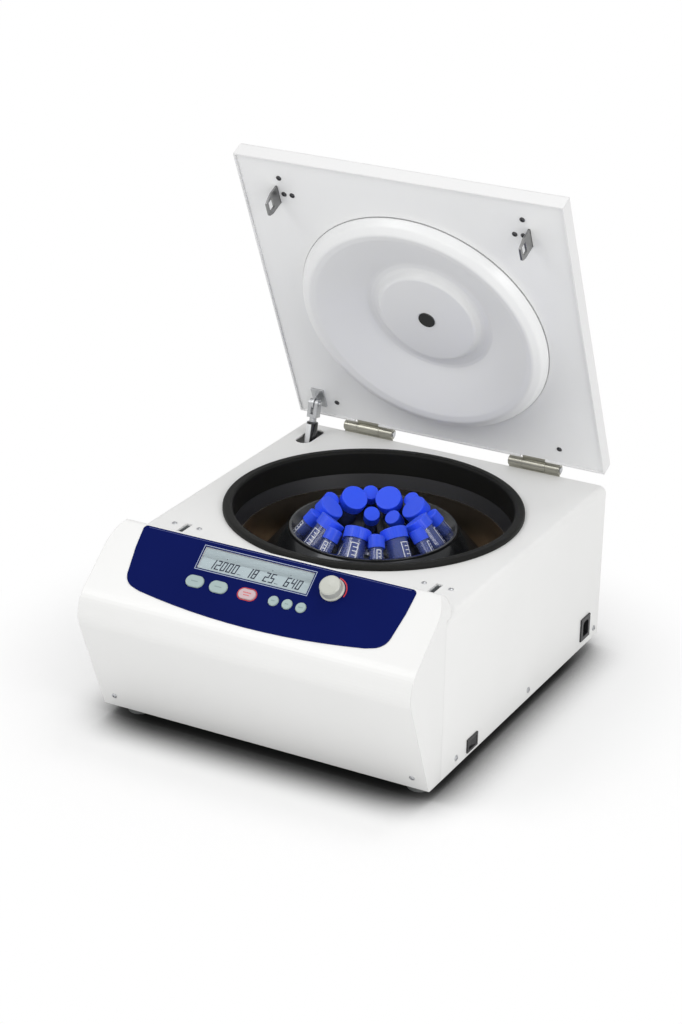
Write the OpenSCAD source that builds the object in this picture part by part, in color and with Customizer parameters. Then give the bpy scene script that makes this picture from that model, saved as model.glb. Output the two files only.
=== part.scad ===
// Bench-top laboratory centrifuge with a lift-up lid, a round chamber, an angle rotor with capped
// tubes and a sloped control panel. X runs across the front, Y runs to the rear, Z is up.
// The origin lies on the bench, in the middle of the whole outline with the lid open.

/* [Housing] */
// Width across the side panels
body_w = 430; // [420:2:460]
// Depth from the fascia's seam to the rear edge
body_d = 446; // [440:2:470]
// Height of the side panels
body_h = 200; // [196:2:220]
// Thickness of the folded sheet steel
sheet_t = 2; // [1.5:0.1:2.2]
// Outside bend radius along the top side edges
bend_r = 9; // [6:0.5:12]
// Width of the flange round the front opening
front_flange = 14; // [10:1:18]
// Thickness of the base tray
tray_t = 2.5; // [2:0.1:3]
// Height of the tray's side flanges
tray_flange = 22; // [20:1:28]
// How far the tray reaches forward under the fascia
tray_nose = 24; // [18:1:28]
// Gap between parts that are slipped into each other
slip_gap = 0.2; // [0.1:0.05:0.3]

/* [Feet] */
// Height of the rubber feet
foot_h = 16; // [12:1:20]
// Radius of a foot at the tray
foot_r = 17; // [14:0.5:19]
// Radius of a foot at the bench
foot_r_low = 14.5; // [12:0.5:16]
// Distance of the feet from the middle plane
foot_x = 187; // [178:1:192]
// Place of the front feet behind the seam
foot_front_y = 4; // [0:1:20]
// Place of the rear feet behind the seam
foot_rear_y = 405; // [390:1:420]

/* [Fascia] */
// How far the nose stands in front of the seam
nose_out = 92; // [84:1:98]
// Height of the nose above the housing's bottom edge
nose_h = 150; // [142:1:156]
// Rounding radius of the nose
nose_r = 38; // [24:1:38]
// How far the chin stands in front of the seam
chin_out = 30; // [26:1:36]
// How far the crest reaches back over the housing's top
crest_back = 10.2; // [8:0.2:11]
// Height of the crest above the housing's top
crest_h = 32.4; // [29:0.2:34]
// Rounding radius of the crest
crest_r = 5; // [3:0.5:7]
// Rounding radius of the crest's two ends
crest_end_r = 28; // [12:1:30]
// Wall thickness of the moulded fascia
fascia_wall = 3; // [2.5:0.1:3.6]

/* [Control panel] */
// Half width of the overlay at its upper edge
overlay_half = 177; // [172:1:182]
// Distance of the overlay's upper edge from the crest corner
overlay_top = 9.5; // [8.5:0.5:12]
// Distance of the overlay's lower edge from the crest corner, in the middle
overlay_low = 103; // [98:1:106]
// Thickness of the overlay
overlay_t = 0.8; // [0.6:0.1:1.0]
// Middle of the display window across the panel
window_x = -19; // [-24:1:-14]
// Distance of the window's middle from the crest corner
window_q = 32; // [30:0.5:34]
// Width of the display window
window_w = 142; // [130:1:146]
// Height of the display window
window_l = 27.5; // [24:0.5:30]
// Place of the knob across the panel
knob_x = 81; // [78:1:90]
// Distance of the knob from the crest corner
knob_q = 33.5; // [32:0.5:36]
// Radius of the knob
knob_r = 14.5; // [12:0.5:16]
// Height of the knob above the overlay
knob_h = 13; // [10:0.5:16]
// Radius of the knob's spindle
spindle_r = 3; // [2.5:0.1:3.5]
// Distance of the row of keys from the crest corner
key_q = 63.5; // [61:0.5:66]
// Length of the two oval keys
oval_key_w = 23; // [18:0.5:25]
// Height of the two oval keys
oval_key_l = 15; // [11:0.5:16]
// Length of the stop key
stop_key_w = 22; // [18:0.5:25]
// Height of the stop key
stop_key_l = 13; // [10:0.5:14]
// Diameter of the three round keys
round_key_d = 12.6; // [10:0.2:13.5]
// How far a key stands above the overlay
key_proud = 1.2; // [0.8:0.1:1.6]
// Travel of a key
key_travel = 0.8; // [0.5:0.1:0.9]
// Gap round a key and round the knob's spindle
key_gap = 0.4; // [0.3:0.05:0.6]
// Depth of the circuit board's face below the slope
board_depth = 10.4; // [9.5:0.1:12]
// Thickness of the circuit boards
board_t = 1.6; // [1.2:0.1:2]

/* [Lid] */
// Opening angle of the lid from closed
open_angle = 65.3; // [55:0.1:70]
// Distance of the hinge axis behind the housing's rear edge
hinge_back = 2.4; // [1.8:0.1:3]
// Height of the hinge axis above the housing's top
hinge_up = 8; // [7.6:0.1:9]
// Width of the lid
lid_w = 428; // [420:1:430]
// Distance of the lid's rear edge in front of the hinge axis
lid_rear = 12.8; // [11:0.1:14]
// Distance of the lid's front edge in front of the hinge axis
lid_front = 436; // [430:0.5:436.4]
// Depth of the lid below its outer face
lid_t = 25.2; // [24:0.1:26]
// Rounding radius round the lid's outer face
lid_r = 8; // [6:0.5:10]
// Wall thickness of the lid's shell
lid_wall = 2; // [1.6:0.1:2.6]
// Thickness of the liner
liner_t = 1.5; // [1.2:0.1:1.8]
// Depth of the liner's flat behind the lid's edge
liner_in = 2.2; // [1.6:0.1:2.6]
// Radius where the liner's raised ring starts
liner_ring_r = 165; // [160:0.5:167]
// Radius of the crest of the liner's raised ring
liner_crest_r = 149; // [144:0.5:152]
// Height of the liner's raised ring
liner_crest_h = 16; // [12:0.5:18]
// Radius of the dish's floor
liner_dish_r = 80; // [74:0.5:86]
// Depth of the dish's floor behind the liner's flat
liner_dish_h = 16; // [12:0.5:17]
// Radius of the boss in the dish
liner_boss_r = 69; // [60:0.5:72]
// Height of the boss above the dish's floor
liner_boss_h = 9; // [6:0.5:10]
// Radius of the sight glass
glass_r = 12.5; // [10:0.5:14]

/* [Hinges] */
// Distance of each hinge's middle from the middle plane
hinge_x = 117; // [108:1:124]
// Length of a hinge
hinge_len = 69; // [60:1:76]
// Outer radius of a knuckle
knuckle_r = 6.5; // [5.8:0.1:6.8]
// Radius of a hinge pin
hinge_pin_r = 2.5; // [2:0.1:3]
// Thickness of a hinge leaf
leaf_t = 2; // [1.6:0.1:2]
// Length of a leaf from the axis
leaf_len = 30; // [26:1:34]
// Radial running clearance of pins and shafts
run_gap = 0.05; // [0.03:0.01:0.08]

/* [Latches] */
// Distance of the latches from the middle plane
latch_x = 165.5; // [162:0.5:168]
// Distance of a hook's front edge from the hinge axis
hook_front = 394; // [388:1:396]
// Length of a hook along the lid
hook_len = 26; // [22:1:28]
// How far a hook stands out of the liner
hook_out = 29; // [26:0.5:30]
// Thickness of a hook
hook_t = 2.5; // [2:0.1:3]
// Travel of a latch bolt
bolt_travel = 8; // [6:0.5:8]
// Width of the latch slots in the top
latch_slot_w = 8; // [7:0.5:9]

/* [Gas spring] */
// Distance of the gas spring from the middle plane
gas_x = 181; // [178:0.5:183]
// Distance of the upper pin from the hinge axis, along the lid
gas_pin_l = 43; // [40:0.5:45]
// Drop of the upper pin below the hinge axis with the lid closed
gas_pin_h = 14; // [13:0.5:15]
// Place of the lower pin behind the seam
gas_foot_y = 372; // [368:1:376]
// Depth of the lower pin below the housing's top
gas_foot_drop = 150; // [148:1:154]
// Radius of the gas spring's cylinder
gas_r = 7.5; // [6.5:0.1:8]
// Length of the gas spring's cylinder
gas_len = 110; // [104:1:112]
// Radius of the gas spring's rod
gas_rod_r = 4; // [3.5:0.1:4.5]
// Length of the clevis from the pin to the cylinder
clevis_len = 24; // [22:0.5:26]
// Radius of the two gas spring pins
gas_pin_r = 3; // [2.5:0.1:3.2]
// Front end of the slot in the top
gas_slot_front = 379; // [376:1:382]
// Rear end of the slot in the top
gas_slot_rear = 431; // [428:1:434]
// Width of the slot in the top
gas_slot_w = 21; // [19:0.5:23]

/* [Chamber] */
// Place of the rotor axis behind the seam
axis_y = 237; // [235:1:239]
// Outer radius of the rubber lip
lip_r = 182.4; // [180:0.2:184]
// Inner radius of the rubber lip
lip_in_r = 170; // [168:0.5:171]
// Height of the lip above the top
lip_h = 6.2; // [5:0.1:6.4]
// Radius of the opening in the top
mouth_r = 176; // [175:0.5:177]
// Depth of the lip's skirt below the top
skirt_drop = 24; // [20:1:28]
// Depth of the bowl's edge below the top
bowl_drop = 40; // [36:1:44]
// Inner radius of the bowl at its edge
bowl_r = 161; // [158:0.5:162]
// Depth of the bowl's floor below the top
bowl_floor = 118; // [116:1:122]
// Thickness of the bowl's sheet
bowl_t = 1.5; // [1.2:0.1:2]
// Inner radius of the steel guard ring
guard_r = 173; // [171:0.5:174]
// Wall thickness of the guard ring
guard_t = 4; // [3:0.5:4]

/* [Rotor] */
// Tilt of the tubes from upright
tube_tilt = 40; // [38:0.5:42]
// Number of large tubes, and of small tubes between them
tube_count = 8; // [8:1:8]
// Radius of a large cap's middle from the axis
large_top_r = 53; // [52:0.5:54]
// Depth of the large caps' tops below the housing's top
large_top_drop = 6; // [5:0.5:8]
// Radius of a large cap
large_cap_r = 16.2; // [15.5:0.1:16.4]
// Height of a large cap
large_cap_h = 14; // [12:0.5:15]
// Outer radius of a large tube
large_tube_r = 14.2; // [13.5:0.1:14.4]
// Length of a large tube with its cap
large_len = 114; // [110:1:116]
// Radius of a small outer cap's top from the axis
small_top_r = 68; // [67:0.5:69]
// Depth of the small outer caps' tops below the housing's top
small_top_drop = 7; // [6:0.5:9]
// Radius of a small cap
small_cap_r = 9.8; // [9:0.1:10]
// Height of a small cap
small_cap_h = 15; // [13:0.5:16]
// Outer radius of a small tube
small_tube_r = 8.2; // [7.5:0.1:8.3]
// Length of a small tube with its cap
small_len = 96; // [92:1:98]
// Radius of a small inner cap's top from the axis
inner_top_r = 34; // [33:0.5:36]
// Depth of the small inner caps' tops below the housing's top
inner_top_drop = 21; // [20:0.5:23]
// Wall thickness of a tube
tube_wall = 1; // [0.8:0.1:1.2]
// Clearance of a tube in its pocket
pocket_gap = 0.4; // [0.3:0.05:0.5]
// Outer radius of the rotor's rim
rim_r = 103; // [102:0.5:104]
// Depth of the rotor's rim below the housing's top
rim_drop = 22; // [21:0.5:23]
// Largest radius of the rotor
rotor_r = 139; // [138:0.5:142]
// Depth of the rotor's underside below the housing's top
rotor_floor = 103; // [102:0.5:105]
// Radius of the hub's flat
hub_r = 34; // [32:0.5:36]

/* [Drive] */
// Radius of the motor
motor_r = 60; // [54:1:66]
// Radius of the motor's upper neck
neck_r = 28; // [24:0.5:30]
// Radius of the motor's shaft
shaft_r = 8; // [7:0.5:9]
// Side of the square motor plate
motor_plate_w = 206; // [196:2:216]
// Thickness of the motor plate
motor_plate_t = 5; // [4:0.5:6]
// Height of the motor plate above the housing's bottom edge
motor_plate_z = 56; // [54:1:60]
// Radius of a vibration mount
mount_r = 14; // [12:0.5:16]

/* [Side fittings] */
// Place of the mains inlet behind the seam
inlet_y = 402.5; // [398:0.5:404]
// Height of the mains inlet's middle above the bottom edge
inlet_z = 25.5; // [25:0.5:30]
// Width of the mains inlet's flange
inlet_w = 26.5; // [25:0.5:28]
// Height of the mains inlet's flange
inlet_h = 30; // [28:0.5:32]
// Depth of the mains inlet behind the panel
inlet_deep = 20; // [18:0.5:24]
// Place of the rocker switch behind the seam
switch_y = 79; // [74:1:84]
// Height of the rocker switch's middle above the bottom edge
switch_z = 13.5; // [13:0.5:16]
// Width of the rocker switch's frame
switch_w = 27; // [24:0.5:28]
// Height of the rocker switch's frame
switch_h = 17; // [15:0.5:18]
// Swing of the rocker from one side to the other
rocker_swing = 16; // [12:1:18]
// Distance of the fan's middle from the middle plane
fan_x = 100; // [96:1:104]
// Height of the fan's middle above the bottom edge
fan_z = 56; // [54:1:60]
// Side of the square fan frame
fan_w = 80; // [76:1:80]
// Depth of the fan frame
fan_deep = 25; // [24:0.5:25]
// Radius of the fan's duct
duct_r = 37; // [35:0.5:37.5]

/* [Hidden] */
$fn = 64;

eps = 0.01;
far = 600;
// Levels of the housing's bottom edge and of its top
floor_z = foot_h;
top_z = foot_h + body_h;
half_w = body_w / 2;
tray_top = floor_z + tray_t;
// Inner faces of the sheet steel cover
inner_half = half_w - sheet_t;
inner_top = top_z - sheet_t;

// Fascia outline: chin, nose and crest corners seen from the side
chin_pt = [-chin_out, floor_z];
nose_pt = [-nose_out, floor_z + nose_h];
crest_pt = [crest_back, top_z + crest_h];
slope_dir = (crest_pt - nose_pt) / norm(crest_pt - nose_pt);
slope_angle = atan2(slope_dir.y, slope_dir.x);

// Hinge axis and the gas spring's two pins
hinge_y = body_d + hinge_back;
hinge_z = top_z + hinge_up;
gas_top = [hinge_y - gas_pin_l * cos(open_angle) - gas_pin_h * sin(open_angle),
           hinge_z + gas_pin_l * sin(open_angle) - gas_pin_h * cos(open_angle)];
gas_foot = [gas_foot_y, top_z - gas_foot_drop];
gas_lean = atan2(gas_top.x - gas_foot.x, gas_top.y - gas_foot.y);
gas_pin_gap = norm(gas_top - gas_foot);

// Lid levels measured from the hinge axis, with the lid closed
liner_low = -1.3;
lid_edge = liner_low - liner_in;
lid_top = lid_edge + lid_t;
dish_back = hinge_y - axis_y;

// Foremost point of the nose and rearmost point of the open lid: the origin lies midway
nose_front = unit(chin_pt - nose_pt);
nose_half = acos(nose_front * slope_dir) / 2;
front_y = nose_pt.x + unit(nose_front + slope_dir).x * nose_r / sin(nose_half) - nose_r;
rear_y = hinge_y - (lid_rear + lid_r) * cos(open_angle) + (lid_top - lid_r) * sin(open_angle) + lid_r;
middle_y = (front_y + rear_y) / 2;

// Rotor levels
cone_r0 = 80;
cone_z0 = -38;
function cone_z(r) = cone_z0 + (r - cone_r0) * tan(tube_tilt);
hub_z = cone_z(hub_r);
// Depth below the cap's top at which a tube meets the rotor's cone
function tube_entry(r, drop) =
  (-drop - cone_z(r)) / (cos(tube_tilt) + sin(tube_tilt) * tan(tube_tilt));

// Points of an outline with each corner rounded to its own radius
function unit(v) = v / norm(v);
function short_turn(a, b) = (b - a) > 180 ? b - a - 360 : (b - a) < -180 ? b - a + 360 : b - a;
function corner(p, q, s, r, n) =
  let (a = unit(p - q), b = unit(s - q), half = acos(a * b) / 2)
  let (c = q + unit(a + b) * r / sin(half))
  let (u = q + a * r / tan(half) - c, v = q + b * r / tan(half) - c)
  let (a0 = atan2(u.y, u.x), turn = short_turn(a0, atan2(v.y, v.x)))
  [for (i = [0 : n]) c + r * [cos(a0 + turn * i / n), sin(a0 + turn * i / n)]];
function rounded(pts, radii, n = 8) =
  [for (i = [0 : len(pts) - 1])
    let (p = pts[(i + len(pts) - 1) % len(pts)], s = pts[(i + 1) % len(pts)])
    each radii[i] <= 0 ? [pts[i]] : corner(p, pts[i], s, radii[i], n)];

// Everything is drawn with Y measured from the seam, and moved to the origin here
module at_origin() {
  translate([0, -middle_y, 0]) children();
}

module both_sides() {
  children();
  mirror([1, 0, 0]) children();
}

// An outline drawn in Y and Z, swept across X
module across(width) {
  translate([-width / 2, 0, 0]) rotate([90, 0, 90]) linear_extrude(width) children();
}

// An outline drawn in X and Z, swept from one Y to another
module along(y0, y1) {
  translate([0, y1, 0]) rotate([90, 0, 0]) linear_extrude(y1 - y0) children();
}

// Local X across the panel, local Y up the slope and local Z out of it, at distance q below the crest
module on_slope(x, q) {
  translate([x, crest_pt.x - q * slope_dir.x, crest_pt.y - q * slope_dir.y])
    rotate([slope_angle, 0, 0]) children();
}

// Parts of the lid are drawn with the lid closed and the hinge axis as origin
module on_lid() {
  translate([0, hinge_y, hinge_z]) rotate([-open_angle, 0, 0]) children();
}

// The gas spring's own axis, from the upper pin downwards along -Z
module on_gas_spring() {
  translate([-gas_x, gas_top.x, gas_top.y]) rotate([-gas_lean, 0, 0]) children();
}

module on_axis() {
  translate([0, axis_y, top_z]) children();
}

// Local Z points along a tube from its cap's top down to its tip
module on_tube(turn, r, drop) {
  rotate([0, 0, turn]) translate([r, 0, -drop]) rotate([0, 180 - tube_tilt, 0]) children();
}

module on_large() {
  for (i = [0 : tube_count - 1])
    on_tube(8 + i * 360 / tube_count, large_top_r, large_top_drop) children();
}

small_turn = 8 + 180 / tube_count;
module on_small() {
  for (i = [0 : tube_count - 1])
    on_tube(small_turn + i * 360 / tube_count, small_top_r, small_top_drop) children();
}

module on_inner() {
  for (turn = [small_turn + 225, small_turn + 270, small_turn + 45, small_turn + 90])
    on_tube(turn, inner_top_r, inner_top_drop) children();
}

// Pan head screw with a cross recess: its head stands on the plane Z = 0 and its shank runs down
module pan_screw(head_r = 3.6, shank_r = 1.9, shank = 6) {
  head_h = head_r * 0.55;
  slot_w = head_r * 0.28;
  difference() {
    union() {
      intersection() {
        translate([0, 0, head_h - head_r * 1.6]) sphere(r = head_r * 1.6);
        cylinder(r = head_r, h = head_h);
      }
      translate([0, 0, -shank]) cylinder(r = shank_r, h = shank + eps);
    }
    for (a = [0, 90]) rotate([0, 0, a])
      translate([-head_r * 0.6, -slot_w / 2, head_h * 0.45]) cube([head_r * 1.2, slot_w, head_h]);
  }
}

// Places of the screws
side_screw_y = [38, 235, 433];
side_screw_z = floor_z + 12;
screw_hole_r = 2.1;
latch_screw_dx = 17;
latch_mid_y = hinge_y - hook_front + hook_len / 2;
latch_screw_y = latch_mid_y + 9;
fascia_screw_x = 197;
fascia_screw_up = 17;
motor_mount_half = 86;

// Steel tray that carries the feet, the drive and the guard ring
module base_tray() {
  half = inner_half - slip_gap;
  color("gainsboro") difference() {
    union() {
      translate([-half, -tray_nose, floor_z]) cube([2 * half, tray_nose + body_d - sheet_t - slip_gap, tray_t]);
      for (side = [-1, 1])
        translate([side * half - (side > 0 ? sheet_t : 0), sheet_t + slip_gap, floor_z])
          cube([sheet_t, body_d - 2 * sheet_t - 2 * slip_gap, tray_flange]);
    }
    // Cooling slots under the motor
    for (i = [-4 : 4])
      translate([i * 14 - 2.5, axis_y - 40, floor_z - 1]) cube([5, 80, tray_t + 2]);
    for (x = [-foot_x, foot_x], y = [foot_front_y, foot_rear_y])
      translate([x, y, floor_z - 1]) cylinder(r = screw_hole_r, h = tray_t + 2);
    for (side = [-1, 1], y = side_screw_y)
      translate([side * half, y, side_screw_z]) rotate([0, 90, 0])
        cylinder(r = screw_hole_r, h = 8, center = true);
    // Room for the rocker switch and the inlet behind the side panels
    for (cut = [[switch_y, switch_w], [inlet_y, inlet_w]])
      translate([half - sheet_t - 1, cut[0] - cut[1] / 2 - 1, tray_top]) cube([sheet_t + 2, cut[1] + 2, far]);
  }
}

module cover_section(w, h, r) {
  polygon(rounded([[-w / 2, 0], [w / 2, 0], [w / 2, h], [-w / 2, h]], [0, 0, r, r], 12));
}

// Folded sheet steel cover with the chamber's round opening, the slots and the side openings
module body_cover() {
  color("whitesmoke") difference() {
    along(0, body_d) translate([0, floor_z]) cover_section(body_w, body_h, bend_r);
    along(sheet_t, body_d + 1)
      translate([0, floor_z - 1]) cover_section(2 * inner_half, body_h + 1 - sheet_t, bend_r - sheet_t);
    along(-1, sheet_t + 1)
      translate([0, floor_z - 1])
        cover_section(2 * (inner_half - front_flange), body_h + 1 - front_flange, bend_r);
    translate([-inner_half, -1, floor_z - 1]) cube([2 * inner_half, sheet_t + 2, tray_t + 1 + slip_gap]);
    translate([0, axis_y, inner_top - 1]) cylinder(r = mouth_r, h = sheet_t + 2, $fn = 180);
    gas_slot(inner_top - 1, sheet_t + 2);
    both_sides() {
      translate([latch_x - latch_slot_w / 2, latch_mid_y - hook_len / 2 - 3, inner_top - 1])
        cube([latch_slot_w, hook_len + 6, sheet_t + 2]);
      for (dx = [-latch_screw_dx, latch_screw_dx])
        translate([latch_x + dx, latch_screw_y, inner_top - 1]) cylinder(r = screw_hole_r, h = sheet_t + 2);
    }
    for (side = [-1, 1], y = side_screw_y)
      translate([side * half_w, y, side_screw_z]) rotate([0, 90, 0])
        cylinder(r = screw_hole_r, h = 3 * sheet_t, center = true);
    translate([inner_half - 1, inlet_y - inlet_w / 2 + 2, floor_z + inlet_z - inlet_h / 2 + 2])
      cube([sheet_t + 2, inlet_w - 4, inlet_h - 4]);
    translate([inner_half - 1, switch_y - switch_w / 2 + 1.5, floor_z + switch_z - switch_h / 2 + 1.5])
      cube([sheet_t + 2, switch_w - 3, switch_h - 3]);
  }
}

// Long slot with round ends for the gas spring
module gas_slot(z, h) {
  r = gas_slot_w / 2;
  translate([-gas_x, gas_slot_front + r, z]) cylinder(r = r, h = h);
  translate([-gas_x, gas_slot_rear - r, z]) cylinder(r = r, h = h);
  translate([-gas_x - r, gas_slot_front + r, z]) cube([2 * r, gas_slot_rear - gas_slot_front - 2 * r, h]);
}

fan_hole_pitch = fan_w * 0.4475;
// Rear sheet with the fan opening, louvre slots and the hinge screw holes
module rear_panel() {
  half = inner_half - slip_gap;
  color("whitesmoke") difference() {
    along(body_d - sheet_t, body_d)
      translate([0, tray_top + slip_gap])
        cover_section(2 * half, inner_top - tray_top - 2 * slip_gap, bend_r - sheet_t);
    translate([-fan_x, body_d, floor_z + fan_z]) rotate([90, 0, 0])
      cylinder(r = duct_r, h = 3 * sheet_t, center = true);
    for (dx = [-1, 1], dz = [-1, 1])
      translate([-fan_x + dx * fan_hole_pitch, body_d, floor_z + fan_z + dz * fan_hole_pitch])
        rotate([90, 0, 0]) cylinder(r = screw_hole_r, h = 3 * sheet_t, center = true);
    for (i = [0 : 9])
      translate([20 + i * 14, body_d - sheet_t - 1, floor_z + 30]) cube([6, sheet_t + 2, 64]);
    for (x = [-hinge_x, hinge_x], dx = [-hinge_len / 3, 0, hinge_len / 3])
      translate([x + dx, body_d, hinge_z - leaf_len + 8]) rotate([90, 0, 0])
        cylinder(r = screw_hole_r, h = 3 * sheet_t, center = true);
  }
}

// The fascia seen from the side, drawn in by the wall on its outer sides
module fascia_outline(wall) {
  front = unit(nose_pt - chin_pt);
  inward = unit([front.y, -front.x] + [slope_dir.y, -slope_dir.x]);
  nose_in = nose_pt + inward * wall / sin(nose_half);
  chin_in = [chin_pt.x + wall * (1 - front.x) / front.y, floor_z + wall];
  crest_in = [crest_pt.x - wall, crest_pt.y - wall / cos(slope_angle) - wall * tan(slope_angle)];
  back = wall > 0 ? 1 : 0;
  step_z = wall > 0 ? top_z - 1 : top_z;
  polygon(rounded(
    [[back, floor_z + wall], [back, step_z], [wall > 0 ? crest_in.x : crest_pt.x, step_z],
     crest_in, nose_in, chin_in],
    [0, 0, 0, max(1, crest_r - wall), max(1, nose_r - wall), 2], 12));
}

// Moulded front with the sloped control panel, its crest and its nose
module front_fascia() {
  wall = fascia_wall;
  color("white") difference() {
    union() {
      difference() {
        intersection() {
          across(body_w) fascia_outline(0);
          along(-nose_out - 20, crest_back + 20) translate([0, floor_z])
            cover_section(body_w, body_h + crest_h, crest_end_r);
        }
        intersection() {
          across(body_w - 2 * wall) fascia_outline(wall);
          along(-nose_out - 20, crest_back + 20) translate([0, floor_z])
            cover_section(body_w - 2 * wall, body_h + crest_h - wall, crest_end_r - wall);
        }
      }
      // Bosses that carry the display board
      for (x = [-board_w / 2 + 6, board_w / 2 - 6], dy = [-board_l / 2 + 5, board_l / 2 - 5])
        on_slope(board_x + x, board_q) translate([0, dy, -board_depth])
          cylinder(r = 3.6, h = board_depth - wall / 2);
    }
    on_slope(window_x, window_q) translate([0, 0, -wall * 2])
      linear_extrude(wall * 3) square([window_w, window_l], center = true);
    on_slope(knob_x, knob_q) translate([0, 0, -wall * 2]) cylinder(r = spindle_r + 2, h = wall * 3);
    for (k = keys) on_slope(k[0], key_q) translate([0, 0, -wall * 2])
      linear_extrude(wall * 3) key_outline(k[1], k[2], key_gap);
    for (side = [-1, 1]) on_front_face(side * fascia_screw_x, fascia_screw_up)
      cylinder(r = screw_hole_r, h = 4 * wall, center = true);
    // Open floor where the tray reaches forward
    translate([-inner_half, -tray_nose - slip_gap, floor_z - 1])
      cube([2 * inner_half, tray_nose + 2, wall + 2]);
  }
}

// Local Z points out of the lower front face
module on_front_face(x, up) {
  front = unit(nose_pt - chin_pt);
  p = chin_pt + front * up / front.y;
  translate([x, p.x, p.y]) rotate([atan2(front.y, front.x), 0, 0]) children();
}

board_w = 214;
board_l = 64;
board_x = -4;
board_q = 52;
// Depth of the clear window below the fascia's face
glass_in = 0.6;

// Place, width and height of each key
keys = [
  [-84, oval_key_w, oval_key_l], [-53, oval_key_w, oval_key_l], [-15.5, stop_key_w, stop_key_l],
  [18.5, round_key_d, round_key_d], [36, round_key_d, round_key_d], [53.6, round_key_d, round_key_d]
];

// Oval or round key outline, larger all round by the gap
module key_outline(w, l, gap) {
  r = l / 2 + gap;
  if (w > l) {
    for (s = [-1, 1]) translate([s * (w - l) / 2, 0]) circle(r = r);
    square([w - l, 2 * r], center = true);
  } else {
    circle(r = r);
  }
}

// Corner points of the overlay: straight top, drawn-in sides and a long curved lower edge
overlay_corner_q = 85;
overlay_bow_half = 146;
overlay_bow_q = 91.5;
overlay_side_in = 9;
module overlay_outline() {
  sag = overlay_low - overlay_bow_q;
  bow_r = (overlay_bow_half * overlay_bow_half + sag * sag) / (2 * sag);
  bow_a = asin(overlay_bow_half / bow_r);
  low = [for (i = [-6 : 6]) [bow_r * sin(bow_a * i / 6), -overlay_low + bow_r - bow_r * cos(bow_a * i / 6)]];
  side = overlay_half - overlay_side_in;
  pts = [[overlay_half, -overlay_top], [-overlay_half, -overlay_top], [-overlay_half + 2, -overlay_top - 30],
         [-side, -overlay_corner_q], each low, [side, -overlay_corner_q], [overlay_half - 2, -overlay_top - 30]];
  radii = [5, 5, 60, 20, each [for (p = low) 0], 20, 60];
  polygon(rounded(pts, radii, 8));
}

// Printed film on the slope
module control_overlay() {
  color("midnightblue") difference() {
    on_slope(0, 0) linear_extrude(overlay_t) overlay_outline();
    on_slope(window_x, window_q) translate([0, 0, -1])
      linear_extrude(3) square([window_w + 2 * slip_gap, window_l + 2 * slip_gap], center = true);
    on_slope(knob_x, knob_q) translate([0, 0, -1]) cylinder(r = spindle_r + 2, h = 3);
    for (k = keys) on_slope(k[0], key_q) translate([0, 0, -1])
      linear_extrude(3) key_outline(k[1], k[2], key_gap);
  }
}

// Clear window over the display
module display_window() {
  color("lightsteelblue", 0.4) on_slope(window_x, window_q) translate([0, 0, -glass_in])
    linear_extrude(glass_in + overlay_t) square([window_w - 0.4, window_l - 0.4], center = true);
}

// Display glass in its frame, standing on the board behind the window
module lcd_panel() {
  color("darkseagreen") on_slope(window_x, window_q) {
    translate([0, 0, -fascia_wall - slip_gap]) linear_extrude(fascia_wall + slip_gap - glass_in)
      square([window_w - 1, window_l - 1], center = true);
    translate([0, 0, -board_depth]) linear_extrude(board_depth - fascia_wall - slip_gap)
      square([window_w - 1, window_l + 4], center = true);
  }
}

// Circuit board behind the slope, with a switch under each key
module display_board() {
  color("darkgreen") {
    difference() {
      on_slope(board_x, board_q) translate([0, 0, -board_depth - board_t])
        linear_extrude(board_t) square([board_w, board_l], center = true);
      on_slope(knob_x, knob_q) translate([0, 0, -board_depth - board_t - 1])
        cylinder(r = spindle_r + 1, h = board_t + 2);
    }
    for (k = keys) on_slope(k[0], key_q) translate([-3, -3, -board_depth - eps])
      cube([6, 6, 2]);
  }
}

encoder_h = 5.5;
// Rotary encoder under the knob
module encoder() {
  color("silver") on_slope(knob_x, knob_q) difference() {
    union() {
      translate([-6.5, -6.5, -board_depth]) cube([13, 13, encoder_h]);
      translate([0, 0, -board_depth]) cylinder(r = spindle_r + 1.6, h = board_depth + overlay_t);
    }
    translate([0, 0, -board_depth - 1]) cylinder(r = spindle_r + run_gap, h = board_depth + 5);
  }
}

module knob_spindle() {
  color("silver") on_slope(knob_x, knob_q) translate([0, 0, -board_depth - board_t])
    cylinder(r = spindle_r, h = board_depth + board_t + overlay_t + knob_h - 3);
}

// Turned knob with a shallow skirt, ribbed side and dished face
module knob() {
  gap = 0.6;
  rib_count = 36;
  color("ivory") on_slope(knob_x, knob_q) translate([0, 0, overlay_t]) difference() {
    rotate_extrude() polygon([[spindle_r, 3], [spindle_r + 2.4, 3], [spindle_r + 2.4, gap],
      [knob_r, gap], [knob_r, 2.2], [knob_r - 1.4, 3.4], [knob_r - 2, knob_h - 1.4],
      [knob_r - 3.4, knob_h], [0, knob_h - 0.6], [0, knob_h - 3], [spindle_r, knob_h - 3]]);
    for (i = [0 : rib_count - 1]) rotate([0, 0, i * 360 / rib_count])
      translate([knob_r - 0.9, 0, 3.6]) cylinder(r = 0.55, h = knob_h, $fn = 6);
  }
}

// One key: cap, flange behind the fascia and a stem down to its switch
module key(k) {
  on_slope(k[0], key_q) {
    translate([0, 0, -fascia_wall - 1.6]) linear_extrude(fascia_wall + 1.6 + overlay_t + key_proud - 0.5)
      key_outline(k[1], k[2], 0);
    translate([0, 0, overlay_t + key_proud - 0.5 - eps]) linear_extrude(0.5 + eps)
      key_outline(k[1], k[2], -0.6);
    translate([0, 0, -fascia_wall - 1.6]) linear_extrude(1.3) key_outline(k[1], k[2], 1.2);
    translate([0, 0, -board_depth + 2 + key_travel + 0.2])
      cylinder(r = 2, h = board_depth - 2 - key_travel - 0.2 - fascia_wall - 1.6 + eps);
  }
}

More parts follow.
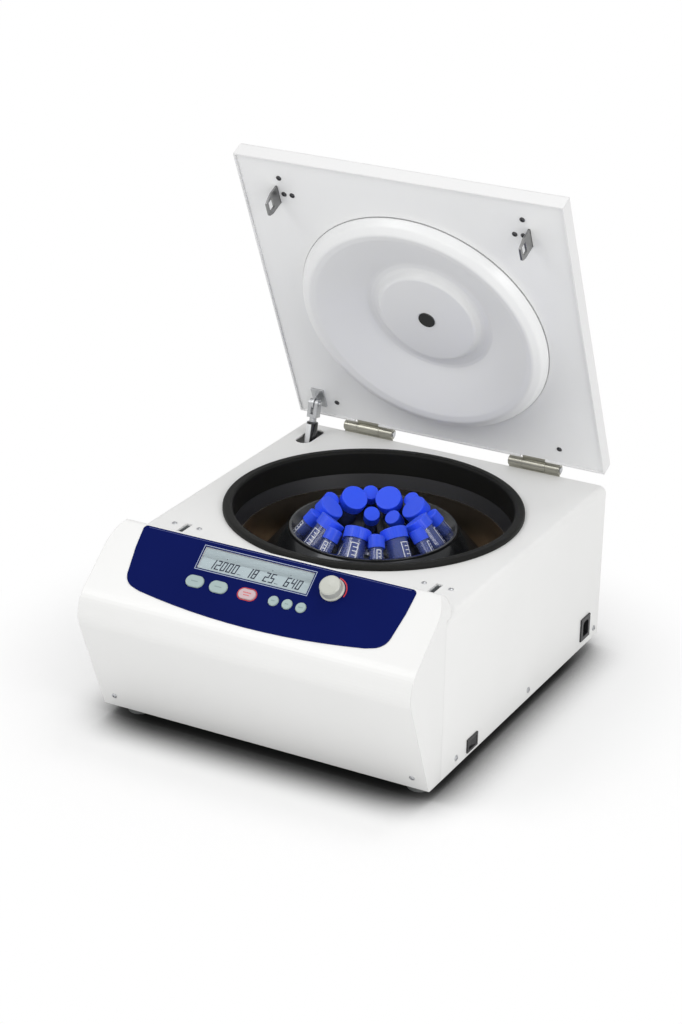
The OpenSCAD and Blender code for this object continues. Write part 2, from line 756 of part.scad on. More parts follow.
module start_key() { color("darkseagreen") key(keys[0]); }
module set_key() { color("darkseagreen") key(keys[1]); }
module stop_key() { color("indianred") key(keys[2]); }
module round_key_1() { color("darkseagreen") key(keys[3]); }
module round_key_2() { color("darkseagreen") key(keys[4]); }
module round_key_3() { color("darkseagreen") key(keys[5]); }

// Four rubber feet, each with a recess for its screw
module feet() {
  color("dimgray") for (x = [-foot_x, foot_x], y = [foot_front_y, foot_rear_y])
    translate([x, y, 0]) difference() {
      cylinder(r1 = foot_r_low, r2 = foot_r, h = foot_h);
      translate([0, 0, -1]) cylinder(r = 6, h = 7);
      cylinder(r = screw_hole_r, h = foot_h + 1);
    }
}

module foot_screws() {
  color("silver") for (x = [-foot_x, foot_x], y = [foot_front_y, foot_rear_y])
    translate([x, y, 6]) rotate([180, 0, 0]) pan_screw(4.5, screw_hole_r - 0.1, foot_h - 6 + tray_t);
}

// Mains inlet: flange, body through the panel and the socket's hollow
module power_inlet() {
  body_w2 = inlet_w - 4 - 2 * slip_gap;
  body_h2 = inlet_h - 4 - 2 * slip_gap;
  color("black") translate([half_w, inlet_y, floor_z + inlet_z]) difference() {
    union() {
      translate([0, -inlet_w / 2, -inlet_h / 2]) cube([2, inlet_w, inlet_h]);
      translate([-inlet_deep, -body_w2 / 2, -body_h2 / 2]) cube([inlet_deep + eps, body_w2, body_h2]);
    }
    translate([3, 0, 0]) rotate([0, -90, 0]) linear_extrude(inlet_deep + 1)
      polygon([[-10, -8], [7, -8], [10, -5], [10, 5], [7, 8], [-10, 8]]);
    pin_blades();
  }
}

// The inlet's three flat pins, which pass through its rear wall
module pin_blades() {
  for (p = [[-4.5, -2.5], [4.5, -2.5], [0, 5.2]])
    translate([-inlet_deep - 6, p[0] - 1, p[1] - 2]) cube([inlet_deep + 2, 2, 4]);
}

module inlet_pins() {
  color("silver") translate([half_w, inlet_y, floor_z + inlet_z]) pin_blades();
}

// Side of the filter box
filter_w = 44;
// Filter box and its bracket behind the inlet
module line_filter() {
  color("lightgray") translate([half_w - 34 - filter_w, inlet_y - filter_w / 2, tray_top]) {
    cube([filter_w, filter_w, 36]);
    translate([-8, 6, 0]) cube([filter_w + 16, 8, 2]);
  }
}

module switch_frame() {
  body_w2 = switch_w - 3 - 2 * slip_gap;
  body_h2 = switch_h - 3 - 2 * slip_gap;
  color("black") translate([half_w, switch_y, floor_z + switch_z]) difference() {
    union() {
      translate([0, -switch_w / 2, -switch_h / 2]) cube([1.8, switch_w, switch_h]);
      translate([-18, -body_w2 / 2, -body_h2 / 2]) cube([18 + eps, body_w2, body_h2]);
    }
    translate([-9, -body_w2 / 2 + 1.5, -body_h2 / 2 + 1.2]) cube([20, body_w2 - 3, body_h2 - 2.4]);
    translate([-4, 0, 0]) cylinder(r = 1.2 + run_gap, h = body_h2 - 1, center = true);
  }
}

// Rocker with its pivot pin: the rear half stands out at rest
module rocker() {
  w = switch_w - 3 - 2 * slip_gap - 5;
  h = switch_h - 3 - 2 * slip_gap - 3.2;
  color("black") translate([half_w - 4, switch_y, floor_z + switch_z])
    rotate([0, 0, -rocker_swing / 2]) {
      translate([0, 0, -h / 2]) linear_extrude(h)
        polygon([[-2.4, -w / 2 + 3], [4.6, -w / 2], [3.9, 0], [4.6, w / 2], [-2.4, w / 2 - 3]]);
      cylinder(r = 1.2, h = h + 2, center = true);
    }
}

knuckle_gap = 0.3;
mid_knuckle = hinge_len * 0.46;
// Fixed leaves: two outer knuckles each, and a plate down the rear panel
module hinge_body_leaves() {
  side_len = (hinge_len - mid_knuckle) / 2;
  color("darkgray") for (x = [-hinge_x, hinge_x]) translate([x, hinge_y, hinge_z]) difference() {
    union() {
      for (s = [-1, 1]) translate([s * (mid_knuckle + side_len) / 2, 0, 0]) {
        rotate([0, 90, 0]) cylinder(r = knuckle_r, h = side_len, center = true);
        translate([-side_len / 2, -hinge_back, -leaf_len]) cube([side_len, leaf_t, leaf_len]);
      }
      translate([-hinge_len / 2, -hinge_back, -leaf_len])
        cube([hinge_len, leaf_t, leaf_len - knuckle_r - knuckle_gap]);
    }
    rotate([0, 90, 0]) cylinder(r = hinge_pin_r, h = hinge_len + 2, center = true);
    for (dx = [-hinge_len / 3, 0, hinge_len / 3])
      translate([dx, 0, -leaf_len + 8]) rotate([90, 0, 0])
        cylinder(r = screw_hole_r, h = 20, center = true);
  }
}

// Moving leaves: one middle knuckle each, and a plate between liner and shell
module hinge_lid_leaves() {
  low = liner_low + liner_t;
  color("darkgray") on_lid() for (x = [-hinge_x, hinge_x]) translate([x, 0, 0]) difference() {
    union() {
      rotate([0, 90, 0]) cylinder(r = knuckle_r, h = mid_knuckle - 2 * knuckle_gap, center = true);
      translate([-mid_knuckle / 2 + knuckle_gap, -lid_rear - 3, low])
        cube([mid_knuckle - 2 * knuckle_gap, lid_rear + 3, leaf_t]);
      translate([-hinge_len / 2, -leaf_len - 6, low]) cube([hinge_len, leaf_len + 6 - lid_rear - lid_wall - 0.4, leaf_t]);
    }
    rotate([0, 90, 0]) cylinder(r = hinge_pin_r + run_gap, h = hinge_len, center = true);
  }
}

module hinge_pins() {
  color("silver") for (x = [-hinge_x, hinge_x]) translate([x, hinge_y, hinge_z]) rotate([0, 90, 0]) {
    cylinder(r = hinge_pin_r, h = hinge_len, center = true);
    for (s = [-1, 1]) translate([0, 0, s * (hinge_len / 2 + 0.75)])
      cylinder(r = hinge_pin_r + 1.2, h = 1.5, center = true);
  }
}

// Upper outline of the lid seen from the side, with rounded front and rear edges
module lid_side(grow, up) {
  polygon(rounded([[-lid_front + grow, lid_edge - up], [-lid_rear - grow, lid_edge - up],
    [-lid_rear - grow, lid_top - grow], [-lid_front + grow, lid_top - grow]],
    [0, 0, max(1, lid_r - grow), max(1, lid_r - grow)], 10));
}

module lid_section(grow, up) {
  half = lid_w / 2 - grow;
  polygon(rounded([[-half, lid_edge - up], [half, lid_edge - up], [half, lid_top - grow],
    [-half, lid_top - grow]], [0, 0, max(1, lid_r - grow), max(1, lid_r - grow)], 10));
}

// Outer shell of the lid, open below, with notches for the hinge knuckles
module lid_shell() {
  color("whitesmoke") on_lid() difference() {
    intersection() {
      across(lid_w) lid_side(0, 0);
      along(-lid_front - 1, 0) lid_section(0, 0);
    }
    intersection() {
      across(lid_w) lid_side(lid_wall, 1);
      along(-lid_front - 1, 0) lid_section(lid_wall, 1);
    }
    for (x = [-hinge_x, hinge_x])
      translate([x - mid_knuckle / 2 - 1, -lid_rear - lid_wall - 1, lid_edge - 1])
        cube([mid_knuckle + 2, lid_wall + 2, liner_low + liner_t + leaf_t + slip_gap - lid_edge + 1]);
    translate([0, -dish_back, 0]) cylinder(r = glass_r + slip_gap, h = far);
  }
}

// Profile of the liner's relief: radius and height above the flat, towards the chamber negative
relief = [
  [liner_ring_r, 0], [liner_ring_r - 6, -liner_crest_h * 0.72], [liner_crest_r, -liner_crest_h],
  [liner_crest_r - 9, -liner_crest_h * 0.86], [liner_dish_r + 4, liner_dish_h - 1], [liner_dish_r, liner_dish_h],
  [liner_boss_r + 5, liner_dish_h], [liner_boss_r, liner_dish_h - 1.5],
  [liner_boss_r - 5, liner_dish_h - liner_boss_h], [glass_r - 1.5, liner_dish_h - liner_boss_h]
];
relief_round = [0, 6, 8, 14, 5, 0, 0, 5, 5, 0];
function relief_line() = [for (i = [0 : len(relief) - 1])
  each relief_round[i] <= 0 ? [relief[i]]
    : corner(relief[i - 1], relief[i], relief[i + 1], relief_round[i], 6)];

// Pressed liner panel: flat round the edge, raised ring, dished cone and middle boss
module lid_liner() {
  line = relief_line();
  half = lid_w / 2 - lid_wall - slip_gap;
  color("white") on_lid() translate([0, 0, liner_low]) difference() {
    union() {
      difference() {
        translate([-half, -lid_front + lid_wall, 0])
          cube([2 * half, lid_front - lid_rear - 2 * lid_wall, liner_t]);
        translate([0, -dish_back, -1]) cylinder(r = liner_ring_r, h = 4, $fn = 180);
      }
      translate([0, -dish_back, 0]) rotate_extrude($fn = 180) polygon([
        each [for (p = line) [p.x, p.y]],
        each [for (i = [len(line) - 1 : -1 : 0]) [line[i].x + (i == 0 ? 1 : 0), line[i].y + liner_t]],
        [liner_ring_r + 1, 0]]);
    }
    both_sides()
      translate([latch_x - hook_t / 2 - 0.4, -hook_front - 0.4, -1]) cube([hook_t + 0.8, hook_len + 0.8, 4]);
    for (p = liner_screws) translate([p.x, p.y, -1]) cylinder(r = screw_hole_r, h = 4);
  }
}

// Places of the hooks' screws and of the liner's screws
hook_screw_x = [157, 146];
hook_screw_l = 383;
liner_screws = [
  for (s = [-1, 1]) [s * 156, -39],
  for (s = [-1, 1]) [s * 159, -407],
  for (s = [-1, 1], x = hook_screw_x) [s * x, -hook_screw_l]
];

module lid_screws() {
  color("darkslategray") on_lid() for (p = liner_screws)
    translate([p.x, p.y, liner_low]) rotate([180, 0, 0]) pan_screw(3.4, screw_hole_r - 0.1, 5);
}

// Clear plug that shows the rotor's middle with the lid shut
module sight_glass() {
  low = liner_low + liner_dish_h - liner_boss_h;
  color("aliceblue", 0.5) on_lid() translate([0, -dish_back, 0]) {
    translate([0, 0, low - 1.2]) cylinder(r = glass_r - 1.8, h = lid_top - low + 1.2);
    translate([0, 0, low + liner_t]) cylinder(r = glass_r, h = lid_top - low - liner_t);
  }
}

hook_win_l = 14;
// Two steel hooks with a window near the tip, each bent to a flange behind the liner
module latch_hooks() {
  drop = liner_low - hook_out;
  color("darkgray") on_lid() both_sides() translate([latch_x, -hook_front, 0]) {
    translate([-hook_t / 2, 0, 0]) rotate([90, 0, 90]) linear_extrude(hook_t) difference() {
      polygon(rounded([[0, liner_low + liner_t + 2], [0, drop + 14], [5, drop], [hook_len - 3, drop],
        [hook_len, drop + 8], [hook_len, liner_low + liner_t + 2]], [0, 3, 2.5, 2.5, 3, 0], 4));
      translate([hook_len / 2 - hook_win_l / 2, drop + 4]) square([hook_win_l, 10]);
    }
    difference() {
      translate([-24, 0, liner_low + liner_t]) cube([24 + hook_t / 2, hook_len, 2]);
      for (x = hook_screw_x) translate([x - latch_x, hook_front - hook_screw_l, liner_low])
        cylinder(r = screw_hole_r, h = 2 * liner_t + 4);
    }
  }
}

bracket_t = 2.5;
// Plate on the liner with one ear that the gas spring's clevis grips
module spring_lid_bracket() {
  color("silver") on_lid() translate([-gas_x, -gas_pin_l, 0]) {
    translate([-9, -14, liner_low - bracket_t]) cube([18, 28, bracket_t]);
    difference() {
      union() {
        translate([-1.5, -8, -gas_pin_h]) cube([3, 16, gas_pin_h + liner_low - bracket_t + eps]);
        translate([0, 0, -gas_pin_h]) rotate([0, 90, 0]) cylinder(r = 8, h = 3, center = true);
      }
      translate([0, 0, -gas_pin_h]) rotate([0, 90, 0])
        cylinder(r = gas_pin_r + run_gap, h = 10, center = true);
    }
  }
}

// Zinc fork with its pin
module spring_clevis() {
  color("silver") on_gas_spring() {
    difference() {
      union() {
        rotate([0, 90, 0]) cylinder(r = 6, h = 13, center = true);
        translate([-6.5, -6, -clevis_len + 6]) cube([13, 12, clevis_len - 6]);
        translate([0, 0, -clevis_len]) cylinder(r = 4.6, h = 7);
      }
      translate([-2, -10, -14]) cube([4, 20, 30]);
    }
    rotate([0, 90, 0]) cylinder(r = gas_pin_r, h = 17, center = true);
  }
}

module spring_cylinder() {
  color("black") on_gas_spring() difference() {
    translate([0, 0, -clevis_len - gas_len]) rotate_extrude() polygon(rounded(
      [[0, 0], [gas_r, 0], [gas_r, gas_len], [0, gas_len]], [0, 1.2, 1.5, 0], 4));
    translate([0, 0, -clevis_len - gas_len - 1]) cylinder(r = gas_rod_r + run_gap, h = 86);
  }
}

// Polished rod with an eye at its foot and the lower pin
module spring_rod() {
  color("silver") on_gas_spring() translate([0, 0, -gas_pin_gap]) {
    difference() {
      union() {
        translate([0, 0, 3]) cylinder(r = gas_rod_r, h = 84);
        rotate([0, 90, 0]) cylinder(r = 6.5, h = 8, center = true);
      }
    }
    rotate([0, 90, 0]) cylinder(r = gas_pin_r, h = 22, center = true);
  }
}

// Fork on the tray: its holes are long, so the lower pin has room to wander
module spring_base_bracket() {
  ear = 3;
  inside = 10;
  reach = 8.5;
  foot_up = gas_foot.y - tray_top;
  color("silver") translate([-gas_x, gas_foot.x, tray_top]) difference() {
    union() {
      for (s = [-1, 1]) translate([s * (inside / 2 + ear / 2) - ear / 2, -18, 0])
        cube([ear, 30, foot_up + 10]);
      translate([-inside / 2 - ear, -18, 0]) cube([inside + 2 * ear, 30, 3]);
    }
    translate([0, 0, foot_up]) rotate([-gas_lean, 0, 0]) {
      for (y = [-reach, 1]) translate([0, y, 0]) rotate([0, 90, 0])
        cylinder(r = gas_pin_r + 1.2, h = 40, center = true);
      translate([-20, -reach, -gas_pin_r - 1.2]) cube([40, reach + 1, 2 * gas_pin_r + 2.4]);
    }
  }
}

// Levels of a latch, measured from the housing's top
hook_low = hinge_up + liner_low - hook_out;
bolt_h = 7;
bolt_mid_z = top_z + hook_low + 9;
bolt_w = 10;
bolt_len = 18;
bolt_rest = latch_x - 3.6;
// Steel boxes under the slots, with a channel for the hook and one for the bolt
module latch_housings() {
  low = top_z + hook_low - 6;
  color("gray") both_sides() difference() {
    translate([latch_x - 26, latch_mid_y - 22, low]) cube([44, 44, inner_top - low]);
    translate([latch_x - 3.2, latch_mid_y - hook_len / 2 - 2, low + 3]) cube([6.4, hook_len + 4, far]);
    translate([latch_x - 27, latch_mid_y - bolt_w / 2 - 0.3, bolt_mid_z - bolt_h / 2 - 0.3])
      cube([34, bolt_w + 0.6, bolt_h + 0.6]);
    for (dx = [-latch_screw_dx, latch_screw_dx])
      translate([latch_x + dx, latch_screw_y, inner_top - 8]) cylinder(r = screw_hole_r - 0.1, h = 20);
  }
}

module latch_bolt() {
  color("silver") translate([bolt_rest - bolt_len, latch_mid_y - bolt_w / 2, bolt_mid_z - bolt_h / 2])
    difference() {
      cube([bolt_len, bolt_w, bolt_h]);
      translate([bolt_len, -1, bolt_h - 1.5]) rotate([0, -45, 0]) cube([4, bolt_w + 2, 6]);
    }
}

module latch_bolt_left() { mirror([1, 0, 0]) latch_bolt(); }
module latch_bolt_right() { latch_bolt(); }

// Rubber lip that grips the edge of the opening
module chamber_gasket() {
  color("black") on_axis() rotate_extrude($fn = 180) polygon(rounded(
    [[lip_in_r, -skirt_drop], [mouth_r - slip_gap, -skirt_drop], [mouth_r - slip_gap, 0], [lip_r, 0],
     [lip_r, lip_h], [lip_in_r, lip_h]], [0, 0, 0, 0, 3.5, 4], 6));
}

// Dark ring between the rubber skirt and the bowl's edge
module chamber_collar() {
  color("dimgray") on_axis() rotate_extrude($fn = 180) polygon(
    [[bowl_r + 1.5, -bowl_drop], [mouth_r - slip_gap, -bowl_drop], [mouth_r - slip_gap, -skirt_drop],
     [lip_in_r - 0.5, -skirt_drop]]);
}

bowl_corner = 18;
bowl_hole_r = neck_r + 6;
// Spun stainless bowl: its flange rests on the guard ring
module chamber_bowl() {
  t = bowl_t;
  low_r = bowl_r - 3;
  inner = rounded([[bowl_hole_r, -bowl_floor + 6], [bowl_hole_r + 10, -bowl_floor], [low_r, -bowl_floor],
    [bowl_r, -bowl_drop - 2], [bowl_r, -bowl_drop]], [0, 0, bowl_corner, 0, 0], 10);
  outer = rounded([[bowl_hole_r, -bowl_floor + 6 - t], [bowl_hole_r + 10, -bowl_floor - t],
    [low_r + t, -bowl_floor - t], [bowl_r + t, -bowl_drop - 2 - t], [bowl_r + t, -bowl_drop - t],
    [guard_r + guard_t, -bowl_drop - t], [guard_r + guard_t, -bowl_drop]],
    [0, 0, bowl_corner + t, 0, 0, 0, 0], 10);
  color("rosybrown") on_axis() rotate_extrude($fn = 180)
    polygon([each inner, each [for (i = [len(outer) - 1 : -1 : 0]) outer[i]]]);
}

// Thick steel ring round the bowl, standing on the tray
module guard_ring() {
  top = top_z - bowl_drop - bowl_t;
  color("slategray") translate([0, axis_y, tray_top]) difference() {
    cylinder(r = guard_r + guard_t, h = top - tray_top, $fn = 180);
    translate([0, 0, -1]) cylinder(r = guard_r, h = far, $fn = 180);
  }
}

plate_low = floor_z + motor_plate_z;
plate_top = plate_low + motor_plate_t;
// Plate that hangs the motor between the rubber mounts
module motor_plate() {
  half = motor_plate_w / 2;
  color("silver") translate([0, axis_y, plate_low]) difference() {
    linear_extrude(motor_plate_t) polygon(rounded(
      [[-half, -half], [half, -half], [half, half], [-half, half]], [20, 20, 20, 20], 8));
    translate([0, 0, -1]) cylinder(r = neck_r + 1, h = motor_plate_t + 2);
    for (x = [-1, 1], y = [-1, 1]) translate([x * motor_mount_half, y * motor_mount_half, -1])
      cylinder(r = 3.2, h = motor_plate_t + 2);
  }
}

// Waisted rubber mounts with steel studs
module vibration_mounts() {
  h = plate_low - tray_top;
  color("dimgray") for (x = [-1, 1], y = [-1, 1])
    translate([x * motor_mount_half, axis_y + y * motor_mount_half, tray_top]) {
      rotate_extrude() polygon([[0, 0], [mount_r, 0], [mount_r, 5], [mount_r - 3, h / 2],
        [mount_r, h - 5], [mount_r, h], [0, h]]);
      translate([0, 0, h - eps]) cylinder(r = 3, h = motor_plate_t + 6);
    }
}

neck_top = bowl_floor - 4;
// Brushless motor: drum, cooling ribs and the neck that reaches into the bowl
module motor_housing() {
  low = tray_top + 6;
  color("gray") translate([0, axis_y, 0]) difference() {
    union() {
      translate([0, 0, low]) cylinder(r = motor_r - 4, h = plate_low - low);
      for (i = [0 : 3]) translate([0, 0, low + 4 + i * 10]) cylinder(r = motor_r, h = 6);
      translate([0, 0, plate_low - eps]) cylinder(r = neck_r, h = top_z - neck_top - plate_low + eps);
    }
    translate([0, 0, low - 1]) cylinder(r = shaft_r + run_gap, h = far);
  }
}

shaft_top = -hub_z - 10;
module motor_shaft() {
  low = tray_top + 8;
  color("silver") translate([0, axis_y, low]) cylinder(r = shaft_r, h = top_z - shaft_top - low);
}

// Blind pocket along local Z whose floor carries the tube's tip
module pocket(r, len, tip, entry) {
  wide = r + pocket_gap;
  rotate_extrude() polygon([[0, entry - 12], [wide, entry - 12], [wide, len - tip], [r * tip_part + pocket_gap, len],
    [0, len]]);
}

// Radius of a tube's blunt tip as a part of the tube's radius
tip_part = 0.35;
large_tip = 14;
small_tip = 16;
// Thickness of a cap's roof, on which the tube's mouth stands
cap_roof = 2.2;
large_entry = tube_entry(large_top_r, large_top_drop);
small_entry = tube_entry(small_top_r, small_top_drop);
inner_entry = tube_entry(inner_top_r, inner_top_drop);
// Cast angle rotor: open cone inside, flared skirt outside
module rotor_body() {
  rim_in = rim_r - 4;
  lower = rotor_floor - 11;
  color("dimgray") on_axis() difference() {
    rotate_extrude($fn = 120) polygon(rounded(
      [[0, -rotor_floor + 11], [hub_r - 12, -rotor_floor + 11], [hub_r - 12, -rotor_floor],
       [36, -rotor_floor], [36, -rotor_floor + 9], [90, -rotor_floor + 9], [94, -rotor_floor],
       [rotor_r - 8, -rotor_floor], [rotor_r, -rotor_floor + 12], [rotor_r, -rim_drop - 46],
       [rim_r, -rim_drop - 3], [rim_r - 1, -rim_drop], [rim_in, -rim_drop],
       [rim_in - 1, cone_z(rim_in - 1)], [hub_r, hub_z], [shaft_r + 9, hub_z], [shaft_r + 9, hub_z + 6],
       [0, hub_z + 6]],
      [0, 0, 0, 0, 0, 0, 0, 4, 4, 10, 1.5, 0.8, 0.8, 0, 4, 0, 1, 0], 6));
    on_large() pocket(large_tube_r, large_len, large_tip, large_entry);
    on_small() pocket(small_tube_r, small_len, small_tip, small_entry);
    on_inner() pocket(small_tube_r, small_len, small_tip, inner_entry);
    translate([0, 0, -far / 2]) cylinder(r = shaft_r, h = far);
  }
}

// Clamping nut on the shaft's end
module rotor_nut() {
  color("silver") on_axis() translate([0, 0, hub_z + 6]) difference() {
    union() {
      cylinder(r = 15, h = 4);
      translate([0, 0, 4 - eps]) cylinder(r = 12, h = 9, $fn = 6);
      translate([0, 0, 13 - 2 * eps]) cylinder(r1 = 10, r2 = 8, h = 2);
    }
    translate([0, 0, -1]) cylinder(r = shaft_r, h = 5);
  }
}

// Hollow tube with a rounded tip: local Z runs from the cap's top to the tip
module tube_body(r, len, tip) {
  in = r - tube_wall;
  rotate_extrude() polygon([
    [in, cap_roof], [r, cap_roof], [r, len - tip], [r * tip_part, len], [0, len], [0, len - tube_wall],
    [in * tip_part, len - tube_wall], [in, len - tip - tube_wall / 3]]);
}

// Ribbed screw cap: local Z runs from its flat top down over the tube's mouth
module cap_body(r, h, tube_r) {
  rib_count = 30;
  inner = tube_r + slip_gap;
  difference() {
    rotate_extrude() polygon(rounded([[0, 0], [r, 0], [r, h], [inner, h], [inner, cap_roof], [0, cap_roof]],
      [0, 1.2, 0, 0, 0, 0], 4));
    for (i = [0 : rib_count - 1]) rotate([0, 0, i * 360 / rib_count])
      translate([r + 0.15, 0, 1.8]) cylinder(r = 0.5, h = h, $fn = 4);
  }
}

module large_tubes() {
  color("white", 0.4) on_axis() on_large() tube_body(large_tube_r, large_len, large_tip);
}

module large_caps() {
  color("royalblue") on_axis() on_large() cap_body(large_cap_r, large_cap_h, large_tube_r);
}

module small_tubes() {
  color("white", 0.4) on_axis() {
    on_small() tube_body(small_tube_r, small_len, small_tip);
    on_inner() tube_body(small_tube_r, small_len, small_tip);
  }
}

module small_caps() {
  color("royalblue") on_axis() {
    on_small() cap_body(small_cap_r, small_cap_h, small_tube_r);
    on_inner() cap_body(small_cap_r, small_cap_h, small_tube_r);
  }
}

// Drive board, its posts and its heat sink
drive_w = 190;
drive_d = 46;
drive_post_h = 8;
sink_w = 60;
sink_d = 30;

// Motor drive board on its posts, with a heat sink and capacitors
module drive_board() {
  low = tray_top + drive_post_h;
  color("darkgreen") translate([-drive_w / 2 + 35, 6, 0]) {
    translate([0, 0, low]) cube([drive_w, drive_d, board_t]);
    for (x = [6, drive_w - 6], y = [6, drive_d - 6])
      translate([x, y, tray_top]) cylinder(r = 3.5, h = drive_post_h + eps);
    translate([20, 8, low + board_t - eps]) {
      cube([sink_w, sink_d, 4]);
      for (x = [0 : 7 : sink_w - 2]) translate([x, 0, 4 - eps]) cube([2, sink_d, 16]);
    }
    for (i = [0 : 2])
      translate([drive_w - 86 + i * 26, drive_d / 2, low + board_t - eps]) cylinder(r = 11, h = 24);
  }
}

module fan_frame() {
  half = fan_w / 2;
  color("black") translate([-fan_x, body_d - sheet_t, floor_z + fan_z]) rotate([90, 0, 0]) difference() {
    linear_extrude(fan_deep) polygon(rounded(
      [[-half, -half], [half, -half], [half, half], [-half, half]], [5, 5, 5, 5], 6));
    translate([0, 0, -1]) cylinder(r = duct_r, h = fan_deep - 3);
    difference() {
      translate([0, 0, fan_deep - 5]) cylinder(r = duct_r, h = 6);
      translate([0, 0, fan_deep - 6]) cylinder(r = 16, h = 8);
      for (a = [0, 90]) rotate([0, 0, a + 45]) translate([-fan_w, -2.5, fan_deep - 6]) cube([2 * fan_w, 5, 8]);
    }
    for (x = [-1, 1], y = [-1, 1]) translate([x * fan_hole_pitch, y * fan_hole_pitch, -1])
      cylinder(r = screw_hole_r, h = fan_deep + 2);
    translate([0, 0, fan_deep - 6]) cylinder(r = 2 + run_gap, h = 8);
  }
}

// Fan wheel: hub, spindle and seven pitched blades
module fan_impeller() {
  blades = 7;
  hub = 15;
  color("dimgray") translate([-fan_x, body_d - sheet_t, floor_z + fan_z]) rotate([90, 0, 0]) {
    translate([0, 0, 2]) cylinder(r = hub, h = fan_deep - 5 - 2 - 0.6);
    translate([0, 0, 10]) cylinder(r = 2, h = fan_deep - 10);
    for (i = [0 : blades - 1]) rotate([0, 0, i * 360 / blades]) translate([hub - 1, 0, 10])
      rotate([38, 0, 0]) translate([0, -9, -0.8]) cube([duct_r - hub - 0.6, 18, 1.6]);
  }
}

guard_wire_r = 1;
// Wire grille over the fan opening, outside the rear panel
module fan_guard() {
  color("silver") translate([-fan_x, body_d + guard_wire_r, floor_z + fan_z]) rotate([90, 0, 0]) {
    for (r = [8, 15, 22, 29, 36]) rotate_extrude() translate([r, 0]) circle(r = guard_wire_r, $fn = 16);
    for (a = [45, 135]) rotate([0, 0, a]) translate([0, 0, -guard_wire_r * 0.7]) rotate([0, 90, 0])
      cylinder(r = guard_wire_r, h = 2 * (fan_hole_pitch * sqrt(2) - 3.5), center = true, $fn = 16);
    for (x = [-1, 1], y = [-1, 1]) translate([x * fan_hole_pitch, y * fan_hole_pitch, -guard_wire_r])
      difference() {
        cylinder(r = 4, h = 2 * guard_wire_r);
        translate([0, 0, -1]) cylinder(r = screw_hole_r, h = 4);
      }
  }
}

// Screws of the housing: side panels, latch boxes, fascia, hinges and fan
module body_screws() {
  color("silver") {
    for (y = side_screw_y) {
      translate([half_w, y, side_screw_z]) rotate([0, 90, 0]) pan_screw(3.6, screw_hole_r - 0.1, 6);
      translate([-half_w, y, side_screw_z]) rotate([0, -90, 0]) pan_screw(3.6, screw_hole_r - 0.1, 6);
    }
    both_sides() for (dx = [-latch_screw_dx, latch_screw_dx])
      translate([latch_x + dx, latch_screw_y, top_z]) pan_screw(3.2, screw_hole_r - 0.1, 8);
    for (side = [-1, 1]) on_front_face(side * fascia_screw_x, fascia_screw_up)
      pan_screw(3.4, screw_hole_r - 0.1, 6);
    for (x = [-hinge_x, hinge_x], dx = [-hinge_len / 3, 0, hinge_len / 3])
      translate([x + dx, hinge_y - hinge_back + leaf_t, hinge_z - leaf_len + 8]) rotate([-90, 0, 0])
        pan_screw(3.4, screw_hole_r - 0.1, 6);
    for (dx = [-1, 1], dz = [-1, 1])
      translate([-fan_x + dx * fan_hole_pitch, body_d + 2 * guard_wire_r, floor_z + fan_z + dz * fan_hole_pitch])
        rotate([-90, 0, 0]) pan_screw(3.2, screw_hole_r - 0.1, 12);
  }
}

at_origin() base_tray();
at_origin() body_cover();
at_origin() rear_panel();
at_origin() front_fascia();
at_origin() control_overlay();
at_origin() display_window();
at_origin() lcd_panel();
at_origin() display_board();
at_origin() encoder();
at_origin() knob_spindle();
at_origin() knob();
at_origin() start_key();
at_origin() set_key();
at_origin() stop_key();
at_origin() round_key_1();
at_origin() round_key_2();
at_origin() round_key_3();
at_origin() feet();
at_origin() foot_screws();
at_origin() power_inlet();
at_origin() inlet_pins();
at_origin() line_filter();
at_origin() switch_frame();
at_origin() rocker();
at_origin() hinge_body_leaves();
at_origin() hinge_lid_leaves();
at_origin() hinge_pins();
at_origin() lid_shell();
at_origin() lid_liner();
at_origin() sight_glass();
at_origin() latch_hooks();
at_origin() lid_screws();
at_origin() spring_lid_bracket();
at_origin() spring_clevis();
at_origin() spring_cylinder();
at_origin() spring_rod();
at_origin() spring_base_bracket();
at_origin() latch_housings();
at_origin() latch_bolt_left();
at_origin() latch_bolt_right();
at_origin() chamber_gasket();
at_origin() chamber_collar();
at_origin() chamber_bowl();
at_origin() guard_ring();
at_origin() motor_plate();
at_origin() vibration_mounts();
at_origin() motor_housing();
at_origin() motor_shaft();
at_origin() rotor_body();
at_origin() rotor_nut();
at_origin() large_tubes();
at_origin() large_caps();
at_origin() small_tubes();
at_origin() small_caps();
at_origin() drive_board();
at_origin() fan_frame();
at_origin() fan_impeller();
at_origin() fan_guard();
at_origin() body_screws();
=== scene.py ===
import bpy
import bmesh
from math import atan2, cos, pi, radians, sin, tau
from mathutils import Matrix, Vector


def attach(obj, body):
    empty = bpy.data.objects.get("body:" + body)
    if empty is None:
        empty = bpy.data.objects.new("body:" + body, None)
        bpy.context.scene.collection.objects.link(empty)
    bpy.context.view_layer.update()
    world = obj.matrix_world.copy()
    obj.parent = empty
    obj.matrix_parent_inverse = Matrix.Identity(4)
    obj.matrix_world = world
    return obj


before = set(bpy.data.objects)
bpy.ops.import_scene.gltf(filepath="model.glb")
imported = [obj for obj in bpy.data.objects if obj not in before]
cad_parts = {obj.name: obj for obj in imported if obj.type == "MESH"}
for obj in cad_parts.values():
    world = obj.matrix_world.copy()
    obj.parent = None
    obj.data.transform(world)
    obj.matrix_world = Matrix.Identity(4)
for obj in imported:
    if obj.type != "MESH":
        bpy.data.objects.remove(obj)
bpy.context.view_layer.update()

# Camera at the photograph's viewpoint: to the right of the machine and above it, with a long lens.
# The frame leans by about a degree, as the photograph does.
camera_place = Vector((1.3203, -2.5378, 1.4553))
camera_look = Vector((-0.42891, 0.81292, -0.39395))
camera_data = bpy.data.cameras.new("camera")
camera_data.lens = 92.03
camera = bpy.data.objects.new("camera", camera_data)
